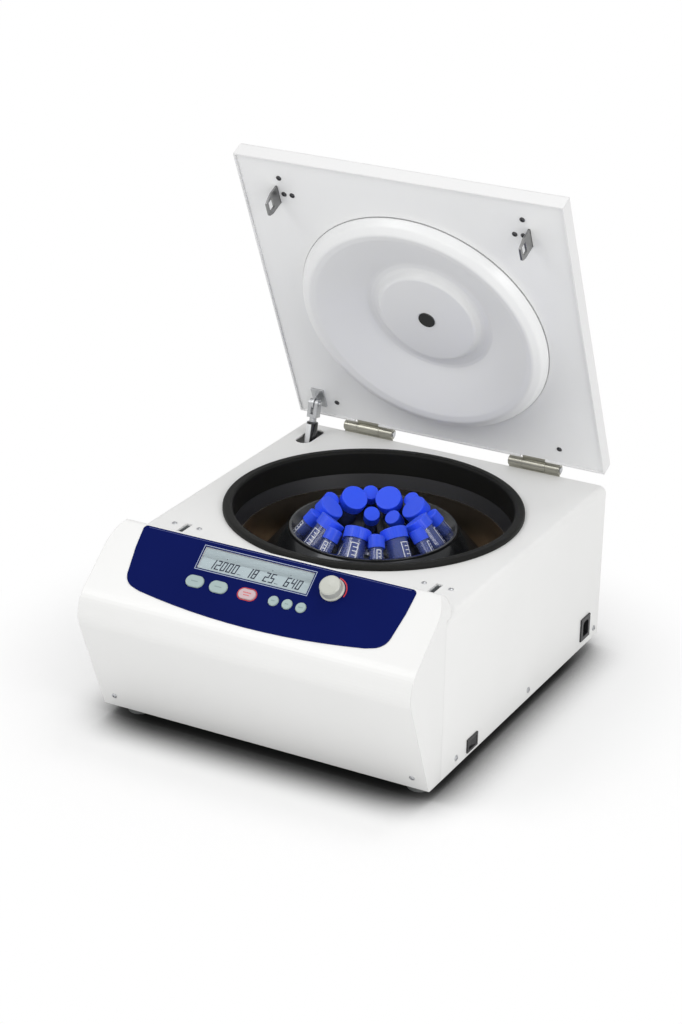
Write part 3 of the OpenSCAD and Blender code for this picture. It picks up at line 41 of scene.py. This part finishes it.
camera.matrix_world = (Matrix.Translation(camera_place)
                       @ camera_look.to_track_quat("-Z", "Y").to_matrix().to_4x4()
                       @ Matrix.Rotation(radians(1.24), 4, "Z"))
bpy.context.collection.objects.link(camera)
bpy.context.scene.camera = camera

# Studio: a large soft key lamp at the upper left, a fill lamp on the right, weaker lamps in front
# and above, and an even sky that the camera sees as white.
scene = bpy.context.scene
scene.view_settings.view_transform = "Standard"
world = bpy.data.worlds.new("studio")
scene.world = world
world.use_nodes = True
sky = world.node_tree
sky.nodes.clear()
sky_out = sky.nodes.new("ShaderNodeOutputWorld")
sky_mix = sky.nodes.new("ShaderNodeMixShader")
sky_light = sky.nodes.new("ShaderNodeBackground")
sky_light.inputs["Color"].default_value = (1, 1, 1, 1)
sky_light.inputs["Strength"].default_value = 0.60
sky_seen = sky.nodes.new("ShaderNodeBackground")
sky_seen.inputs["Color"].default_value = (1, 1, 1, 1)
sky_seen.inputs["Strength"].default_value = 1
sky_path = sky.nodes.new("ShaderNodeLightPath")
sky_through = sky.nodes.new("ShaderNodeMath")
sky_through.operation = "MAXIMUM"
sky.links.new(sky_path.outputs["Is Camera Ray"], sky_through.inputs[0])
sky.links.new(sky_path.outputs["Is Transmission Ray"], sky_through.inputs[1])
sky.links.new(sky_through.outputs[0], sky_mix.inputs[0])
sky.links.new(sky_light.outputs[0], sky_mix.inputs[1])
sky.links.new(sky_seen.outputs[0], sky_mix.inputs[2])
sky.links.new(sky_mix.outputs[0], sky_out.inputs[0])

lamp_aim = Vector((0, 0, 0.25))
for lamp_name, place, power, size in (
        ("key", (-1.5, -1.7, 2.5), 22, 1.5), ("fill", (2.3, -0.9, 1.5), 20, 1.4),
        ("front", (0.5, -2.7, 1.3), 9, 1.2), ("top", (0.3, 0.7, 2.6), 9, 1.0)):
    lamp_data = bpy.data.lights.new(lamp_name, "AREA")
    lamp_data.energy = power
    lamp_data.size = size
    lamp = bpy.data.objects.new(lamp_name, lamp_data)
    lamp.location = place
    lamp.rotation_euler = (lamp_aim - lamp.location).to_track_quat("-Z", "Y").to_euler()
    bpy.context.collection.objects.link(lamp)

# Floor: a pale cloth, darkened where the machine is close above it, which draws the soft contact
# shadow. Further out it fades into the white of the backdrop.
floor_bm = bmesh.new()
bmesh.ops.create_circle(floor_bm, cap_ends=True, segments=96, radius=6)
floor_mesh = bpy.data.meshes.new("floor")
floor_bm.to_mesh(floor_mesh)
floor_bm.free()
floor = bpy.data.objects.new("floor", floor_mesh)
bpy.context.collection.objects.link(floor)
floor_finish = bpy.data.materials.new("floor_finish")
floor_finish.use_nodes = True
ground = floor_finish.node_tree
ground.nodes.clear()
ground_out = ground.nodes.new("ShaderNodeOutputMaterial")
ground_mix = ground.nodes.new("ShaderNodeMixShader")
ground_cloth = ground.nodes.new("ShaderNodeBsdfDiffuse")
ground_near = ground.nodes.new("ShaderNodeAmbientOcclusion")
ground_near.samples = 16
ground_near.inputs["Distance"].default_value = 0.07
ground_dark = ground.nodes.new("ShaderNodeMapRange")
ground_dark.interpolation_type = "SMOOTHSTEP"
ground_dark.inputs["From Min"].default_value = 0.30
ground_dark.inputs["From Max"].default_value = 1.0
ground_dark.inputs["To Min"].default_value = 0.04
ground_dark.inputs["To Max"].default_value = 0.93
ground_glow = ground.nodes.new("ShaderNodeEmission")
ground_glow.inputs["Strength"].default_value = 1
ground_place = ground.nodes.new("ShaderNodeTexCoord")
ground_reach = ground.nodes.new("ShaderNodeVectorMath")
ground_reach.operation = "LENGTH"
ground_fade = ground.nodes.new("ShaderNodeMapRange")
ground_fade.interpolation_type = "SMOOTHSTEP"
ground_fade.inputs["From Min"].default_value = 0.26
ground_fade.inputs["From Max"].default_value = 0.52
ground_fade.inputs["To Min"].default_value = 0
ground_fade.inputs["To Max"].default_value = 1
ground_path = ground.nodes.new("ShaderNodeLightPath")
ground_seen = ground.nodes.new("ShaderNodeMath")
ground_seen.operation = "MULTIPLY"
ground.links.new(ground_place.outputs["Object"], ground_reach.inputs[0])
ground.links.new(ground_reach.outputs["Value"], ground_fade.inputs["Value"])
ground.links.new(ground_fade.outputs["Result"], ground_seen.inputs[0])
ground.links.new(ground_path.outputs["Is Camera Ray"], ground_seen.inputs[1])
ground.links.new(ground_seen.outputs[0], ground_mix.inputs[0])
ground.links.new(ground_near.outputs["AO"], ground_dark.inputs["Value"])
ground.links.new(ground_dark.outputs["Result"], ground_cloth.inputs["Color"])
ground.links.new(ground_cloth.outputs[0], ground_mix.inputs[1])
ground.links.new(ground_glow.outputs[0], ground_mix.inputs[2])
ground.links.new(ground_mix.outputs[0], ground_out.inputs[0])
floor.data.materials.append(floor_finish)

# Grain that all finishes share: a fine noise drives gloss and relief, and a broad one darkens the
# tone in patches.
grain_group = bpy.data.node_groups.new("fine_grain", "ShaderNodeTree")
for socket_name, socket_type, socket_way in (
        ("Colour", "NodeSocketColor", "INPUT"), ("Spread", "NodeSocketFloat", "INPUT"),
        ("Grains per metre", "NodeSocketFloat", "INPUT"), ("Roughness", "NodeSocketFloat", "INPUT"),
        ("Roughness spread", "NodeSocketFloat", "INPUT"), ("Colour", "NodeSocketColor", "OUTPUT"),
        ("Roughness", "NodeSocketFloat", "OUTPUT"), ("Height", "NodeSocketFloat", "OUTPUT")):
    grain_group.interface.new_socket(name=socket_name, in_out=socket_way, socket_type=socket_type)
grain_in = grain_group.nodes.new("NodeGroupInput")
grain_out = grain_group.nodes.new("NodeGroupOutput")
grain_place = grain_group.nodes.new("ShaderNodeTexCoord")
grain_fine = grain_group.nodes.new("ShaderNodeTexNoise")
grain_fine.inputs["Detail"].default_value = 3
grain_broad = grain_group.nodes.new("ShaderNodeTexNoise")
grain_broad.inputs["Scale"].default_value = 9
grain_broad.inputs["Detail"].default_value = 4
grain_shift = grain_group.nodes.new("ShaderNodeMapRange")
grain_shift.inputs["From Min"].default_value = 0.3
grain_shift.inputs["From Max"].default_value = 0.7
grain_dark = grain_group.nodes.new("ShaderNodeMath")
grain_dark.operation = "SUBTRACT"
grain_dark.inputs[0].default_value = 1
grain_tint = grain_group.nodes.new("ShaderNodeVectorMath")
grain_tint.operation = "SCALE"
grain_rough = grain_group.nodes.new("ShaderNodeMath")
grain_rough.operation = "MULTIPLY_ADD"
grain_joins = grain_group.links
grain_joins.new(grain_place.outputs["Object"], grain_fine.inputs["Vector"])
grain_joins.new(grain_place.outputs["Object"], grain_broad.inputs["Vector"])
grain_joins.new(grain_in.outputs["Grains per metre"], grain_fine.inputs["Scale"])
grain_joins.new(grain_broad.outputs["Fac"], grain_shift.inputs["Value"])
grain_joins.new(grain_in.outputs["Spread"], grain_dark.inputs[1])
grain_joins.new(grain_dark.outputs[0], grain_shift.inputs["To Min"])
grain_shift.inputs["To Max"].default_value = 1
grain_joins.new(grain_in.outputs["Colour"], grain_tint.inputs[0])
grain_joins.new(grain_shift.outputs["Result"], grain_tint.inputs["Scale"])
grain_joins.new(grain_tint.outputs[0], grain_out.inputs["Colour"])
grain_joins.new(grain_fine.outputs["Fac"], grain_rough.inputs[0])
grain_joins.new(grain_in.outputs["Roughness spread"], grain_rough.inputs[1])
grain_joins.new(grain_in.outputs["Roughness"], grain_rough.inputs[2])
grain_joins.new(grain_rough.outputs[0], grain_out.inputs["Roughness"])
grain_joins.new(grain_fine.outputs["Fac"], grain_out.inputs["Height"])


def surface(name, colour, rough, metal=0.0, spread=0.05, rough_spread=0.08, grains=900, relief=0.00002,
            round_edge=0.0, **sockets):
    """A finish whose tone, gloss and relief vary finely over the piece."""
    finish = bpy.data.materials.new(name)
    finish.use_nodes = True
    nodes, joins = finish.node_tree.nodes, finish.node_tree.links
    skin = nodes["Principled BSDF"]
    skin.inputs["Metallic"].default_value = metal
    for socket, value in sockets.items():
        skin.inputs[socket.replace("_", " ")].default_value = value
    grain = nodes.new("ShaderNodeGroup")
    grain.name = "grain"
    grain.node_tree = grain_group
    grain.inputs["Colour"].default_value = (*colour, 1)
    grain.inputs["Spread"].default_value = spread
    grain.inputs["Grains per metre"].default_value = grains
    grain.inputs["Roughness"].default_value = rough
    grain.inputs["Roughness spread"].default_value = rough_spread
    bump = nodes.new("ShaderNodeBump")
    bump.name = "bump"
    bump.inputs["Distance"].default_value = relief
    joins.new(grain.outputs["Colour"], skin.inputs["Base Color"])
    joins.new(grain.outputs["Roughness"], skin.inputs["Roughness"])
    joins.new(grain.outputs["Height"], bump.inputs["Height"])
    joins.new(bump.outputs["Normal"], skin.inputs["Normal"])
    if round_edge:
        edge = nodes.new("ShaderNodeBevel")
        edge.samples = 4
        edge.inputs["Radius"].default_value = round_edge
        joins.new(edge.outputs["Normal"], bump.inputs["Normal"])
    return finish


def dress(finish, *names):
    """Gives the finish to CAD nodes."""
    for name in names:
        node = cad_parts[name]
        if not node.material_slots:
            node.data.materials.append(finish)
        for material_slot in node.material_slots:
            material_slot.material = finish


# Housing: sheet steel, folded, welded and powder coated in white. The coat has a very fine
# orange peel, and its edges are slightly rounded by the paint. The tray is bare galvanised sheet.
powder_coat = surface("powder_coat", (0.85, 0.85, 0.84), 0.36, spread=0.02, grains=1400,
                      round_edge=0.0007)
dress(powder_coat, "body_cover", "rear_panel")
galvanised = surface("galvanised", (0.62, 0.64, 0.65), 0.38, metal=0.85, spread=0.22,
                     rough_spread=0.2, grains=120)
dress(galvanised, "base_tray", "latch_housings")

# Fascia: one moulded shell, painted in the housing's white but glossier, with a soft nose and
# a crest along its upper edge.
fascia_paint = surface("fascia_paint", (0.82, 0.82, 0.81), 0.3, spread=0.015, grains=700,
                       relief=0.00001, round_edge=0.0012, Coat_Weight=0.25, Coat_Roughness=0.15)
dress(fascia_paint, "front_fascia")

# Overlay: navy polyester film with a matt texture, glued on the slope. A pale line round the
# display's window and a fainter one below the upper edge are screen printed.
seam_y = -0.188064
crest_y, crest_z = 0.0102, 0.2484
slope_run, slope_rise = 0.1022, 0.0824
slope_turn = atan2(slope_rise, slope_run)
film_t = 0.0008
film_finish = surface("overlay_film", (0.003, 0.008, 0.092), 0.5, spread=0.12, grains=2600,
                      relief=0.00001, Specular_IOR_Level=0.03)
dress(film_finish, "control_overlay")


def slope_matrix(x, q, out=0.0):
    """Local X across the panel, Y up the slope, Z out of it; q is the distance below the crest."""
    place = Matrix.Translation((x, seam_y + crest_y - q * cos(slope_turn), crest_z - q * sin(slope_turn)))
    return place @ Matrix.Rotation(slope_turn, 4, "X") @ Matrix.Translation((0, 0, out))


def piece(name, bm, finish, body, smooth=False):
    """Makes an object of the bmesh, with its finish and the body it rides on."""
    mesh = bpy.data.meshes.new(name)
    bm.to_mesh(mesh)
    bm.free()
    for face in mesh.polygons:
        face.use_smooth = smooth
    obj = bpy.data.objects.new(name, mesh)
    obj.data.materials.append(finish)
    bpy.context.collection.objects.link(obj)
    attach(obj, body)
    return obj


def bar(bm, matrix, x0, x1, y0, y1, z0=0.0, z1=0.00006):
    """Adds a thin printed bar to the bmesh."""
    middle = Matrix.Translation(((x0 + x1) / 2, (y0 + y1) / 2, (z0 + z1) / 2))
    size = Matrix.Diagonal((x1 - x0, y1 - y0, z1 - z0, 1))
    bmesh.ops.create_cube(bm, size=1, matrix=matrix @ middle @ size)


pale_ink = surface("pale_ink", (0.36, 0.42, 0.56), 0.4, grains=3000, relief=0.000005)
faint_ink = surface("faint_ink", (0.07, 0.09, 0.26), 0.4, grains=3000, relief=0.000005)
window_x, window_q = -0.019, 0.032
window_half_w, window_half_l = 0.0725, 0.0152
line_w = 0.0008
outer_half_w, outer_half_l = window_half_w + line_w, window_half_l + line_w
window_place = slope_matrix(window_x, window_q, film_t)
line_bm = bmesh.new()
for side in (-1, 1):
    bar(line_bm, window_place, -window_half_w, window_half_w,
        *sorted((side * window_half_l, side * outer_half_l)))
    bar(line_bm, window_place, *sorted((side * window_half_w, side * outer_half_w)),
        -outer_half_l, outer_half_l)
piece("panel_lines", line_bm, pale_ink, "chassis")
top_line_q, top_line_half_w = 0.0095, 0.170
top_line_bm = bmesh.new()
bar(top_line_bm, slope_matrix(0, top_line_q, film_t), -top_line_half_w, top_line_half_w, -0.0022, -0.0017)
piece("panel_top_line", top_line_bm, faint_ink, "chassis")

# Display: a grey-blue liquid crystal glass behind a clear window. Its figures are slanted dark
# segments, with rows of short marks beside them and single marks above.
display_finish = surface("display_glass", (0.40, 0.48, 0.51), 0.35, spread=0.02, grains=4000,
                         relief=0.000002)
dress(display_finish, "lcd_panel")
window_finish = surface("window_clear", (0.62, 0.70, 0.72), 0.08, spread=0.01, rough_spread=0.02,
                        grains=300, relief=0.0000002, Alpha=0.03)
dress(window_finish, "display_window")
segment_ink = surface("segment_ink", (0.018, 0.022, 0.045), 0.5, grains=3000, relief=0.000004,
                      Specular_IOR_Level=0.1)
SEGMENTS = {"0": "abcdef", "1": "bc", "2": "abged", "3": "abgcd", "4": "fgbc", "5": "afgcd", "6": "afgedc",
            "7": "abc", "8": "abcdefg", "9": "abcdfg"}
figure_w, figure_h, stroke = 0.0056, 0.0122, 0.0014
figure_pitch, figure_slant = 0.0075, 0.2


def figure(bm, digit, place, x, y):
    """One seven segment figure with its lower left corner at x, y."""
    middle, top, right = y + figure_h / 2, y + figure_h, x + figure_w
    boxes = {"a": (x, right, top - stroke, top),
             "g": (x, right, middle - stroke / 2, middle + stroke / 2),
             "d": (x, right, y, y + stroke),
             "f": (x, x + stroke, middle, top),
             "b": (right - stroke, right, middle, top),
             "e": (x, x + stroke, y, middle),
             "c": (right - stroke, right, y, middle)}
    slant = Matrix(((1, figure_slant, 0, -figure_slant * y), (0, 1, 0, 0), (0, 0, 1, 0), (0, 0, 0, 1)))
    for letter in SEGMENTS[digit]:
        bar(bm, place @ slant, *boxes[letter])


figure_bm = bmesh.new()
glass_depth = 0.00058
glass_place = slope_matrix(window_x, window_q, -glass_depth)
figures_low = -0.0108
mark_w, mark_pitch = 0.0011, 0.0016
for text, start in (("12000", -0.0585), ("18", -0.0105), ("25", 0.0122), ("640", 0.0390)):
    for i, digit in enumerate(text):
        figure(figure_bm, digit, glass_place, start + i * figure_pitch, figures_low)
for start in (-0.0200, 0.0280):
    for i in range(3):
        mark_left = start + i * mark_pitch
        bar(figure_bm, glass_place, mark_left, mark_left + mark_w, figures_low + 0.0004, figures_low + 0.0012)
for start in (-0.0400, 0.0195, 0.0430):
    bar(figure_bm, glass_place, start, start + 0.0010, 0.0042, 0.0052)
piece("display_figures", figure_bm, segment_ink, "chassis")

# Keys: embossed domes in pale green-grey under the film, each with a short printed row. The stop
# key is pinkish, with two red rows and a red rim. Each key moves by under a millimetre.
key_green = surface("key_green", (0.35, 0.45, 0.44), 0.42, grains=2600, relief=0.00001, round_edge=0.0003)
dress(key_green, "start_key", "set_key", "round_key_1", "round_key_2", "round_key_3")
key_pink = surface("key_pink", (0.56, 0.42, 0.44), 0.42, grains=2600, relief=0.00001, round_edge=0.0003)
dress(key_pink, "stop_key")
key_ink = surface("key_ink", (0.20, 0.27, 0.27), 0.45, grains=3000, relief=0.000004)
red_ink = surface("red_ink", (0.62, 0.03, 0.035), 0.4, grains=3000, relief=0.000004)
key_q, key_top = 0.0635, film_t + 0.0012
stop_key_x = -0.0155
row_pitch, letter_pitch, letter_w, letter_half_h = 0.0032, 0.0015, 0.0010, 0.0006
for name, key_x, rows in (
        ("start_key", -0.084, (0.0090,)), ("set_key", -0.053, (0.0090,)),
        ("stop_key", stop_key_x, (0.0110, 0.0070)), ("round_key_1", 0.0185, (0.0045,)),
        ("round_key_2", 0.036, (0.0045,)), ("round_key_3", 0.0536, (0.0055,))):
    mark_bm = bmesh.new()
    face = slope_matrix(key_x, key_q, key_top)
    for row, length in enumerate(rows):
        row_y = row_pitch / 2 * (len(rows) - 1) - row_pitch * row
        letters = round(length / letter_pitch)
        for i in range(letters):
            left = (i - letters / 2) * letter_pitch
            bar(mark_bm, face, left, left + letter_w, row_y - letter_half_h, row_y + letter_half_h)
    piece(name + "_mark", mark_bm, red_ink if name == "stop_key" else key_ink, name)

# The rim follows the stop key's outline: two half rings of the key's end radius, set apart.
rim_bm = bmesh.new()
stop_face = slope_matrix(stop_key_x, key_q, film_t)
key_end_r, key_end_x = 0.0065, 0.0045
rim_gap, rim_w, rim_h = 0.0006, 0.0008, 0.0003
rim_profile = ((rim_gap, 0.0), (rim_gap, rim_h), (rim_gap + rim_w, rim_h), (rim_gap + rim_w, 0.0))
rim_points = 40
rim_rings = []
for grow, up in rim_profile:
    reach = key_end_r + grow
    ring = []
    for i in range(rim_points):
        a = i * tau / rim_points
        end_x = key_end_x if cos(a) > 0 else -key_end_x
        ring.append(rim_bm.verts.new(stop_face @ Vector((reach * cos(a) + end_x, reach * sin(a), up))))
    rim_rings.append(ring)
for k in range(len(rim_rings)):
    lower, upper = rim_rings[k], rim_rings[(k + 1) % len(rim_rings)]
    for i in range(rim_points):
        rim_bm.faces.new((lower[i], lower[(i + 1) % rim_points], upper[(i + 1) % rim_points], upper[i]))
bmesh.ops.recalc_face_normals(rim_bm, faces=rim_bm.faces)
piece("stop_key_rim", rim_bm, red_ink, "chassis")

# Knob: ivory moulded plastic with a dished face and a ribbed side, pressed on the encoder's
# spindle. A red arc is printed on the overlay round it.
knob_finish = surface("knob_plastic", (0.52, 0.53, 0.48), 0.3, grains=1500, relief=0.00001, round_edge=0.0004,
                      Coat_Weight=0.2)
dress(knob_finish, "knob")
knob_x, knob_q = 0.081, 0.0335
arc_inner_r, arc_outer_r, arc_half_w = 0.0155, 0.0170, 0.0008
arc_start, arc_step = -15, 5
arc_bm = bmesh.new()
knob_face = slope_matrix(knob_x, knob_q, film_t)
for i in range(20):
    arc_place = knob_face @ Matrix.Rotation(radians(i * arc_step + arc_start), 4, "Z")
    bar(arc_bm, arc_place, arc_inner_r, arc_outer_r, -arc_half_w, arc_half_w)
piece("knob_scale", arc_bm, red_ink, "chassis")

# Turned and plated steel parts: screws, spindle, pins, shaft and nut. Fine turning marks.
plain_steel = surface("turned_steel", (0.62, 0.63, 0.65), 0.24, metal=1.0, spread=0.15,
                      rough_spread=0.16, grains=1600, relief=0.00001, round_edge=0.0002)
dress(plain_steel, "knob_spindle", "foot_screws", "hinge_pins", "motor_shaft", "rotor_nut",
      "body_screws", "fan_guard")
zinc_plate = surface("zinc_plate", (0.60, 0.61, 0.62), 0.3, metal=1.0, spread=0.25,
                     rough_spread=0.25, grains=400, round_edge=0.0004)
dress(zinc_plate, "encoder", "line_filter", "spring_base_bracket", "spring_lid_bracket", "spring_clevis")
black_oxide = surface("black_oxide", (0.09, 0.09, 0.095), 0.35, metal=0.8, grains=1600, round_edge=0.0002)
dress(black_oxide, "lid_screws")

# Feet and motor mounts: moulded grey rubber with a dull, slightly dusty skin.
foot_rubber = surface("foot_rubber", (0.30, 0.31, 0.31), 0.62, spread=0.2, grains=1200,
                      relief=0.00005, round_edge=0.0008)
dress(foot_rubber, "feet", "vibration_mounts")

# Side fittings: glossy black moulded inlet, switch and rocker, with nickel plated pins.
black_plastic = surface("black_plastic", (0.018, 0.018, 0.02), 0.32, grains=1500,
                        round_edge=0.0004)
dress(black_plastic, "power_inlet", "switch_frame", "rocker", "fan_frame", "fan_impeller")
pin_nickel = surface("pin_nickel", (0.60, 0.58, 0.52), 0.2, metal=1.0, grains=900)
dress(pin_nickel, "inlet_pins")

# Rubber lip of the chamber and the dark collar below it.
lip_rubber = surface("lip_rubber", (0.009, 0.009, 0.008), 0.5, spread=0.2,
                     Specular_IOR_Level=0.18)
dress(lip_rubber, "chamber_gasket")
collar_finish = surface("collar_finish", (0.016, 0.016, 0.018), 0.42, relief=0.00001,
                        Specular_IOR_Level=0.3)
dress(collar_finish, "chamber_collar")

# Bowl: stainless steel, spun on a form and polished. Very fine rings run round it, and it mirrors the dark
# rotor. Its warm brown tint is a painted reflection of the brown that the enclosed chamber reflects.
bowl_finish = surface("spun_stainless_painted_reflection", (0.52, 0.45, 0.37), 0.28, metal=1.0, spread=0.15,
                      rough_spread=0.04, grains=300, relief=0.0000002)
bowl_nodes, bowl_joins = bowl_finish.node_tree.nodes, bowl_finish.node_tree.links
bowl_place = bowl_nodes.new("ShaderNodeTexCoord")
bowl_shift = bowl_nodes.new("ShaderNodeMapping")
chamber_back = 0.237
axis_y = seam_y + chamber_back
bowl_shift.inputs["Location"].default_value = (0, -axis_y, 0)
bowl_rings = bowl_nodes.new("ShaderNodeTexWave")
bowl_rings.wave_type = "RINGS"
bowl_rings.rings_direction = "Z"
bowl_rings.inputs["Scale"].default_value = 60
bowl_rings.inputs["Distortion"].default_value = 1.5
bowl_joins.new(bowl_place.outputs["Object"], bowl_shift.inputs["Vector"])
bowl_joins.new(bowl_shift.outputs["Vector"], bowl_rings.inputs["Vector"])
bowl_joins.new(bowl_rings.outputs["Fac"], bowl_nodes["bump"].inputs["Height"])
dress(bowl_finish, "chamber_bowl")

# Below the chamber: a guard ring of dull rolled steel, and the motor's cast aluminium.
guard_finish = surface("guard_steel", (0.20, 0.205, 0.22), 0.5, metal=0.9, spread=0.3, grains=200,
                       relief=0.00006)
dress(guard_finish, "guard_ring")
cast_aluminium = surface("cast_aluminium", (0.45, 0.46, 0.48), 0.42, metal=1.0, spread=0.2,
                         grains=500, relief=0.00006)
dress(cast_aluminium, "motor_plate", "motor_housing")

# Rotor: forged aluminium, turned and anodised black, with a lacquered gloss.
rotor_finish = surface("black_anodised", (0.035, 0.037, 0.04), 0.2, metal=0.75, spread=0.15,
                       rough_spread=0.1, relief=0.000006, round_edge=0.0006, Coat_Weight=0.4,
                       Coat_Roughness=0.08)
dress(rotor_finish, "rotor_body")

# Tubes: clear moulded plastic with a printed white scale, and blue ribbed screw caps. The tubes' deep blue
# colour is a painted reflection of the blue caps and painted shade of the dark rotor pockets seen through
# them.
tube_finish = surface("tube_clear_painted_reflection", (0.10, 0.15, 0.50), 0.08, spread=0.03, rough_spread=0.04,
                      grains=400, relief=0.000002, Alpha=0.34, Specular_IOR_Level=1.0,
                      Coat_Weight=1.0, Coat_Roughness=0.04)
dress(tube_finish, "large_tubes", "small_tubes")
cap_blue = surface("cap_blue", (0.02, 0.09, 0.93), 0.36, grains=1500, relief=0.00001,
                   round_edge=0.0004, Subsurface_Weight=0.05)
dress(cap_blue, "large_caps", "small_caps")
scale_ink = surface("scale_ink", (0.85, 0.87, 0.90), 0.5, grains=2500, relief=0.000004)
tube_tilt = radians(40)
top_z = 0.216


def tube_matrix(turn, radius, drop):
    """Local Z runs along a tube from its cap's top to its tip."""
    place = Matrix.Translation((0, axis_y, top_z)) @ Matrix.Rotation(radians(turn), 4, "Z")
    return place @ Matrix.Translation((radius, 0, -drop)) @ Matrix.Rotation(pi - tube_tilt, 4, "Y")


# Each scale is a ladder of rungs bent round the tube in steps of 9 degrees. Every fifth rung runs
# from rail to rail.
rung_turn, rung_step = 145, 9
ink_t, rung_h, rail_half_w = 0.00005, 0.0010, 0.0005
rung_share = 0.079
scale_bm = bmesh.new()
for tubes, radius, drop, tube_r, first, last, step in (
        ([8 + i * 45 for i in range(8)], 0.053, 0.006, 0.0142, 0.020, 0.046, 0.0050),
        ([30.5 + i * 45 for i in range(8)], 0.068, 0.007, 0.0082, 0.018, 0.036, 0.0042),
        ([255.5, 300.5, 75.5, 120.5], 0.034, 0.021, 0.0082, 0.018, 0.036, 0.0042)):
    for tube in tubes:
        place = tube_matrix(tube, radius, drop)
        facets = [place @ Matrix.Rotation(radians(rung_turn + k * rung_step), 4, "Z") for k in range(5)]
        at = first
        count = 0
        while at < last:
            long_mark = count % 5 == 0
            for facet in facets[:5 if long_mark else 3]:
                bar(scale_bm, facet, tube_r, tube_r + ink_t, -tube_r * rung_share, tube_r * rung_share,
                    at, at + rung_h)
            at += step
            count += 1
        for facet in (facets[0], facets[4]):
            bar(scale_bm, facet, tube_r, tube_r + ink_t, -rail_half_w, rail_half_w, first, last)
piece("tube_scales", scale_bm, scale_ink, "rotor")

# Lid: pressed steel shell, powder coated, with a glossy vacuum formed liner and a clear sight plug over the
# rotor's middle. The plug is coloured near black, which is painted shade for the dark hole seen through it.
lid_paint = surface("lid_paint", (0.83, 0.83, 0.83), 0.36, spread=0.02, grains=1400,
                    round_edge=0.0008)
dress(lid_paint, "lid_shell")
liner_finish = surface("liner_plastic", (0.84, 0.845, 0.845), 0.3, spread=0.012,
                       rough_spread=0.03, grains=1800, relief=0.000003, round_edge=0.0006)
dress(liner_finish, "lid_liner")
sight_finish = surface("clear_plug_painted_shade", (0.05, 0.05, 0.05), 0.08, spread=0.02, rough_spread=0.03,
                       grains=300, relief=0.000002, Coat_Weight=1.0)
dress(sight_finish, "sight_glass")

# Hinges and hooks: nickel plated steel, polished along their length, which leaves streaks.
hinge_finish = surface("hinge_nickel", (0.46, 0.45, 0.39), 0.22, metal=1.0, spread=0.3,
                       rough_spread=0.2, grains=260, relief=0.00003, round_edge=0.0004)
hinge_nodes, hinge_joins = hinge_finish.node_tree.nodes, hinge_finish.node_tree.links
hinge_place = hinge_nodes.new("ShaderNodeTexCoord")
hinge_stretch = hinge_nodes.new("ShaderNodeMapping")
hinge_stretch.inputs["Scale"].default_value = (900, 30, 30)
hinge_streaks = hinge_nodes.new("ShaderNodeTexNoise")
hinge_streaks.inputs["Scale"].default_value = 1
hinge_joins.new(hinge_place.outputs["Object"], hinge_stretch.inputs["Vector"])
hinge_joins.new(hinge_stretch.outputs["Vector"], hinge_streaks.inputs["Vector"])
hinge_joins.new(hinge_streaks.outputs["Fac"], hinge_nodes["bump"].inputs["Height"])
dress(hinge_finish, "hinge_body_leaves", "hinge_lid_leaves")
hook_steel = surface("hook_steel", (0.36, 0.36, 0.36), 0.3, metal=1.0, spread=0.25, grains=500,
                     round_edge=0.0003)
dress(hook_steel, "latch_hooks", "latch_bolt_left", "latch_bolt_right")

# Gas spring: black lacquered tube with a silver label, and a hard chromed rod.
spring_lacquer = surface("spring_lacquer", (0.012, 0.012, 0.013), 0.16, grains=700,
                         relief=0.00001, Coat_Weight=0.5)
dress(spring_lacquer, "spring_cylinder")
spring_x, spring_back, spring_z, spring_lean = -0.181, 0.41771, 0.257216, radians(13.445)
spring_r, label_r, label_half_w = 0.0075, 0.00756, 0.00062
label_low, label_high, label_start = -0.066, -0.027, -140
spring_place = (Matrix.Translation((spring_x, seam_y + spring_back, spring_z))
                @ Matrix.Rotation(-spring_lean, 4, "X"))
label_bm = bmesh.new()
for i in range(8):
    bar(label_bm, spring_place @ Matrix.Rotation(radians(i * 9 + label_start), 4, "Z"),
        spring_r, label_r, -label_half_w, label_half_w, label_low, label_high)
label_finish = surface("label_paper", (0.78, 0.79, 0.80), 0.4, grains=2500, relief=0.000004)
piece("spring_label", label_bm, label_finish, "gas_cylinder")
rod_chrome = surface("rod_chrome", (0.70, 0.70, 0.71), 0.07, metal=1.0, spread=0.06, rough_spread=0.05)
dress(rod_chrome, "spring_rod")

# Circuit boards: green solder mask with soldered blocks.
board_finish = surface("solder_mask", (0.012, 0.11, 0.045), 0.35, spread=0.4, grains=500, relief=0.00004)
dress(board_finish, "display_board", "drive_board")
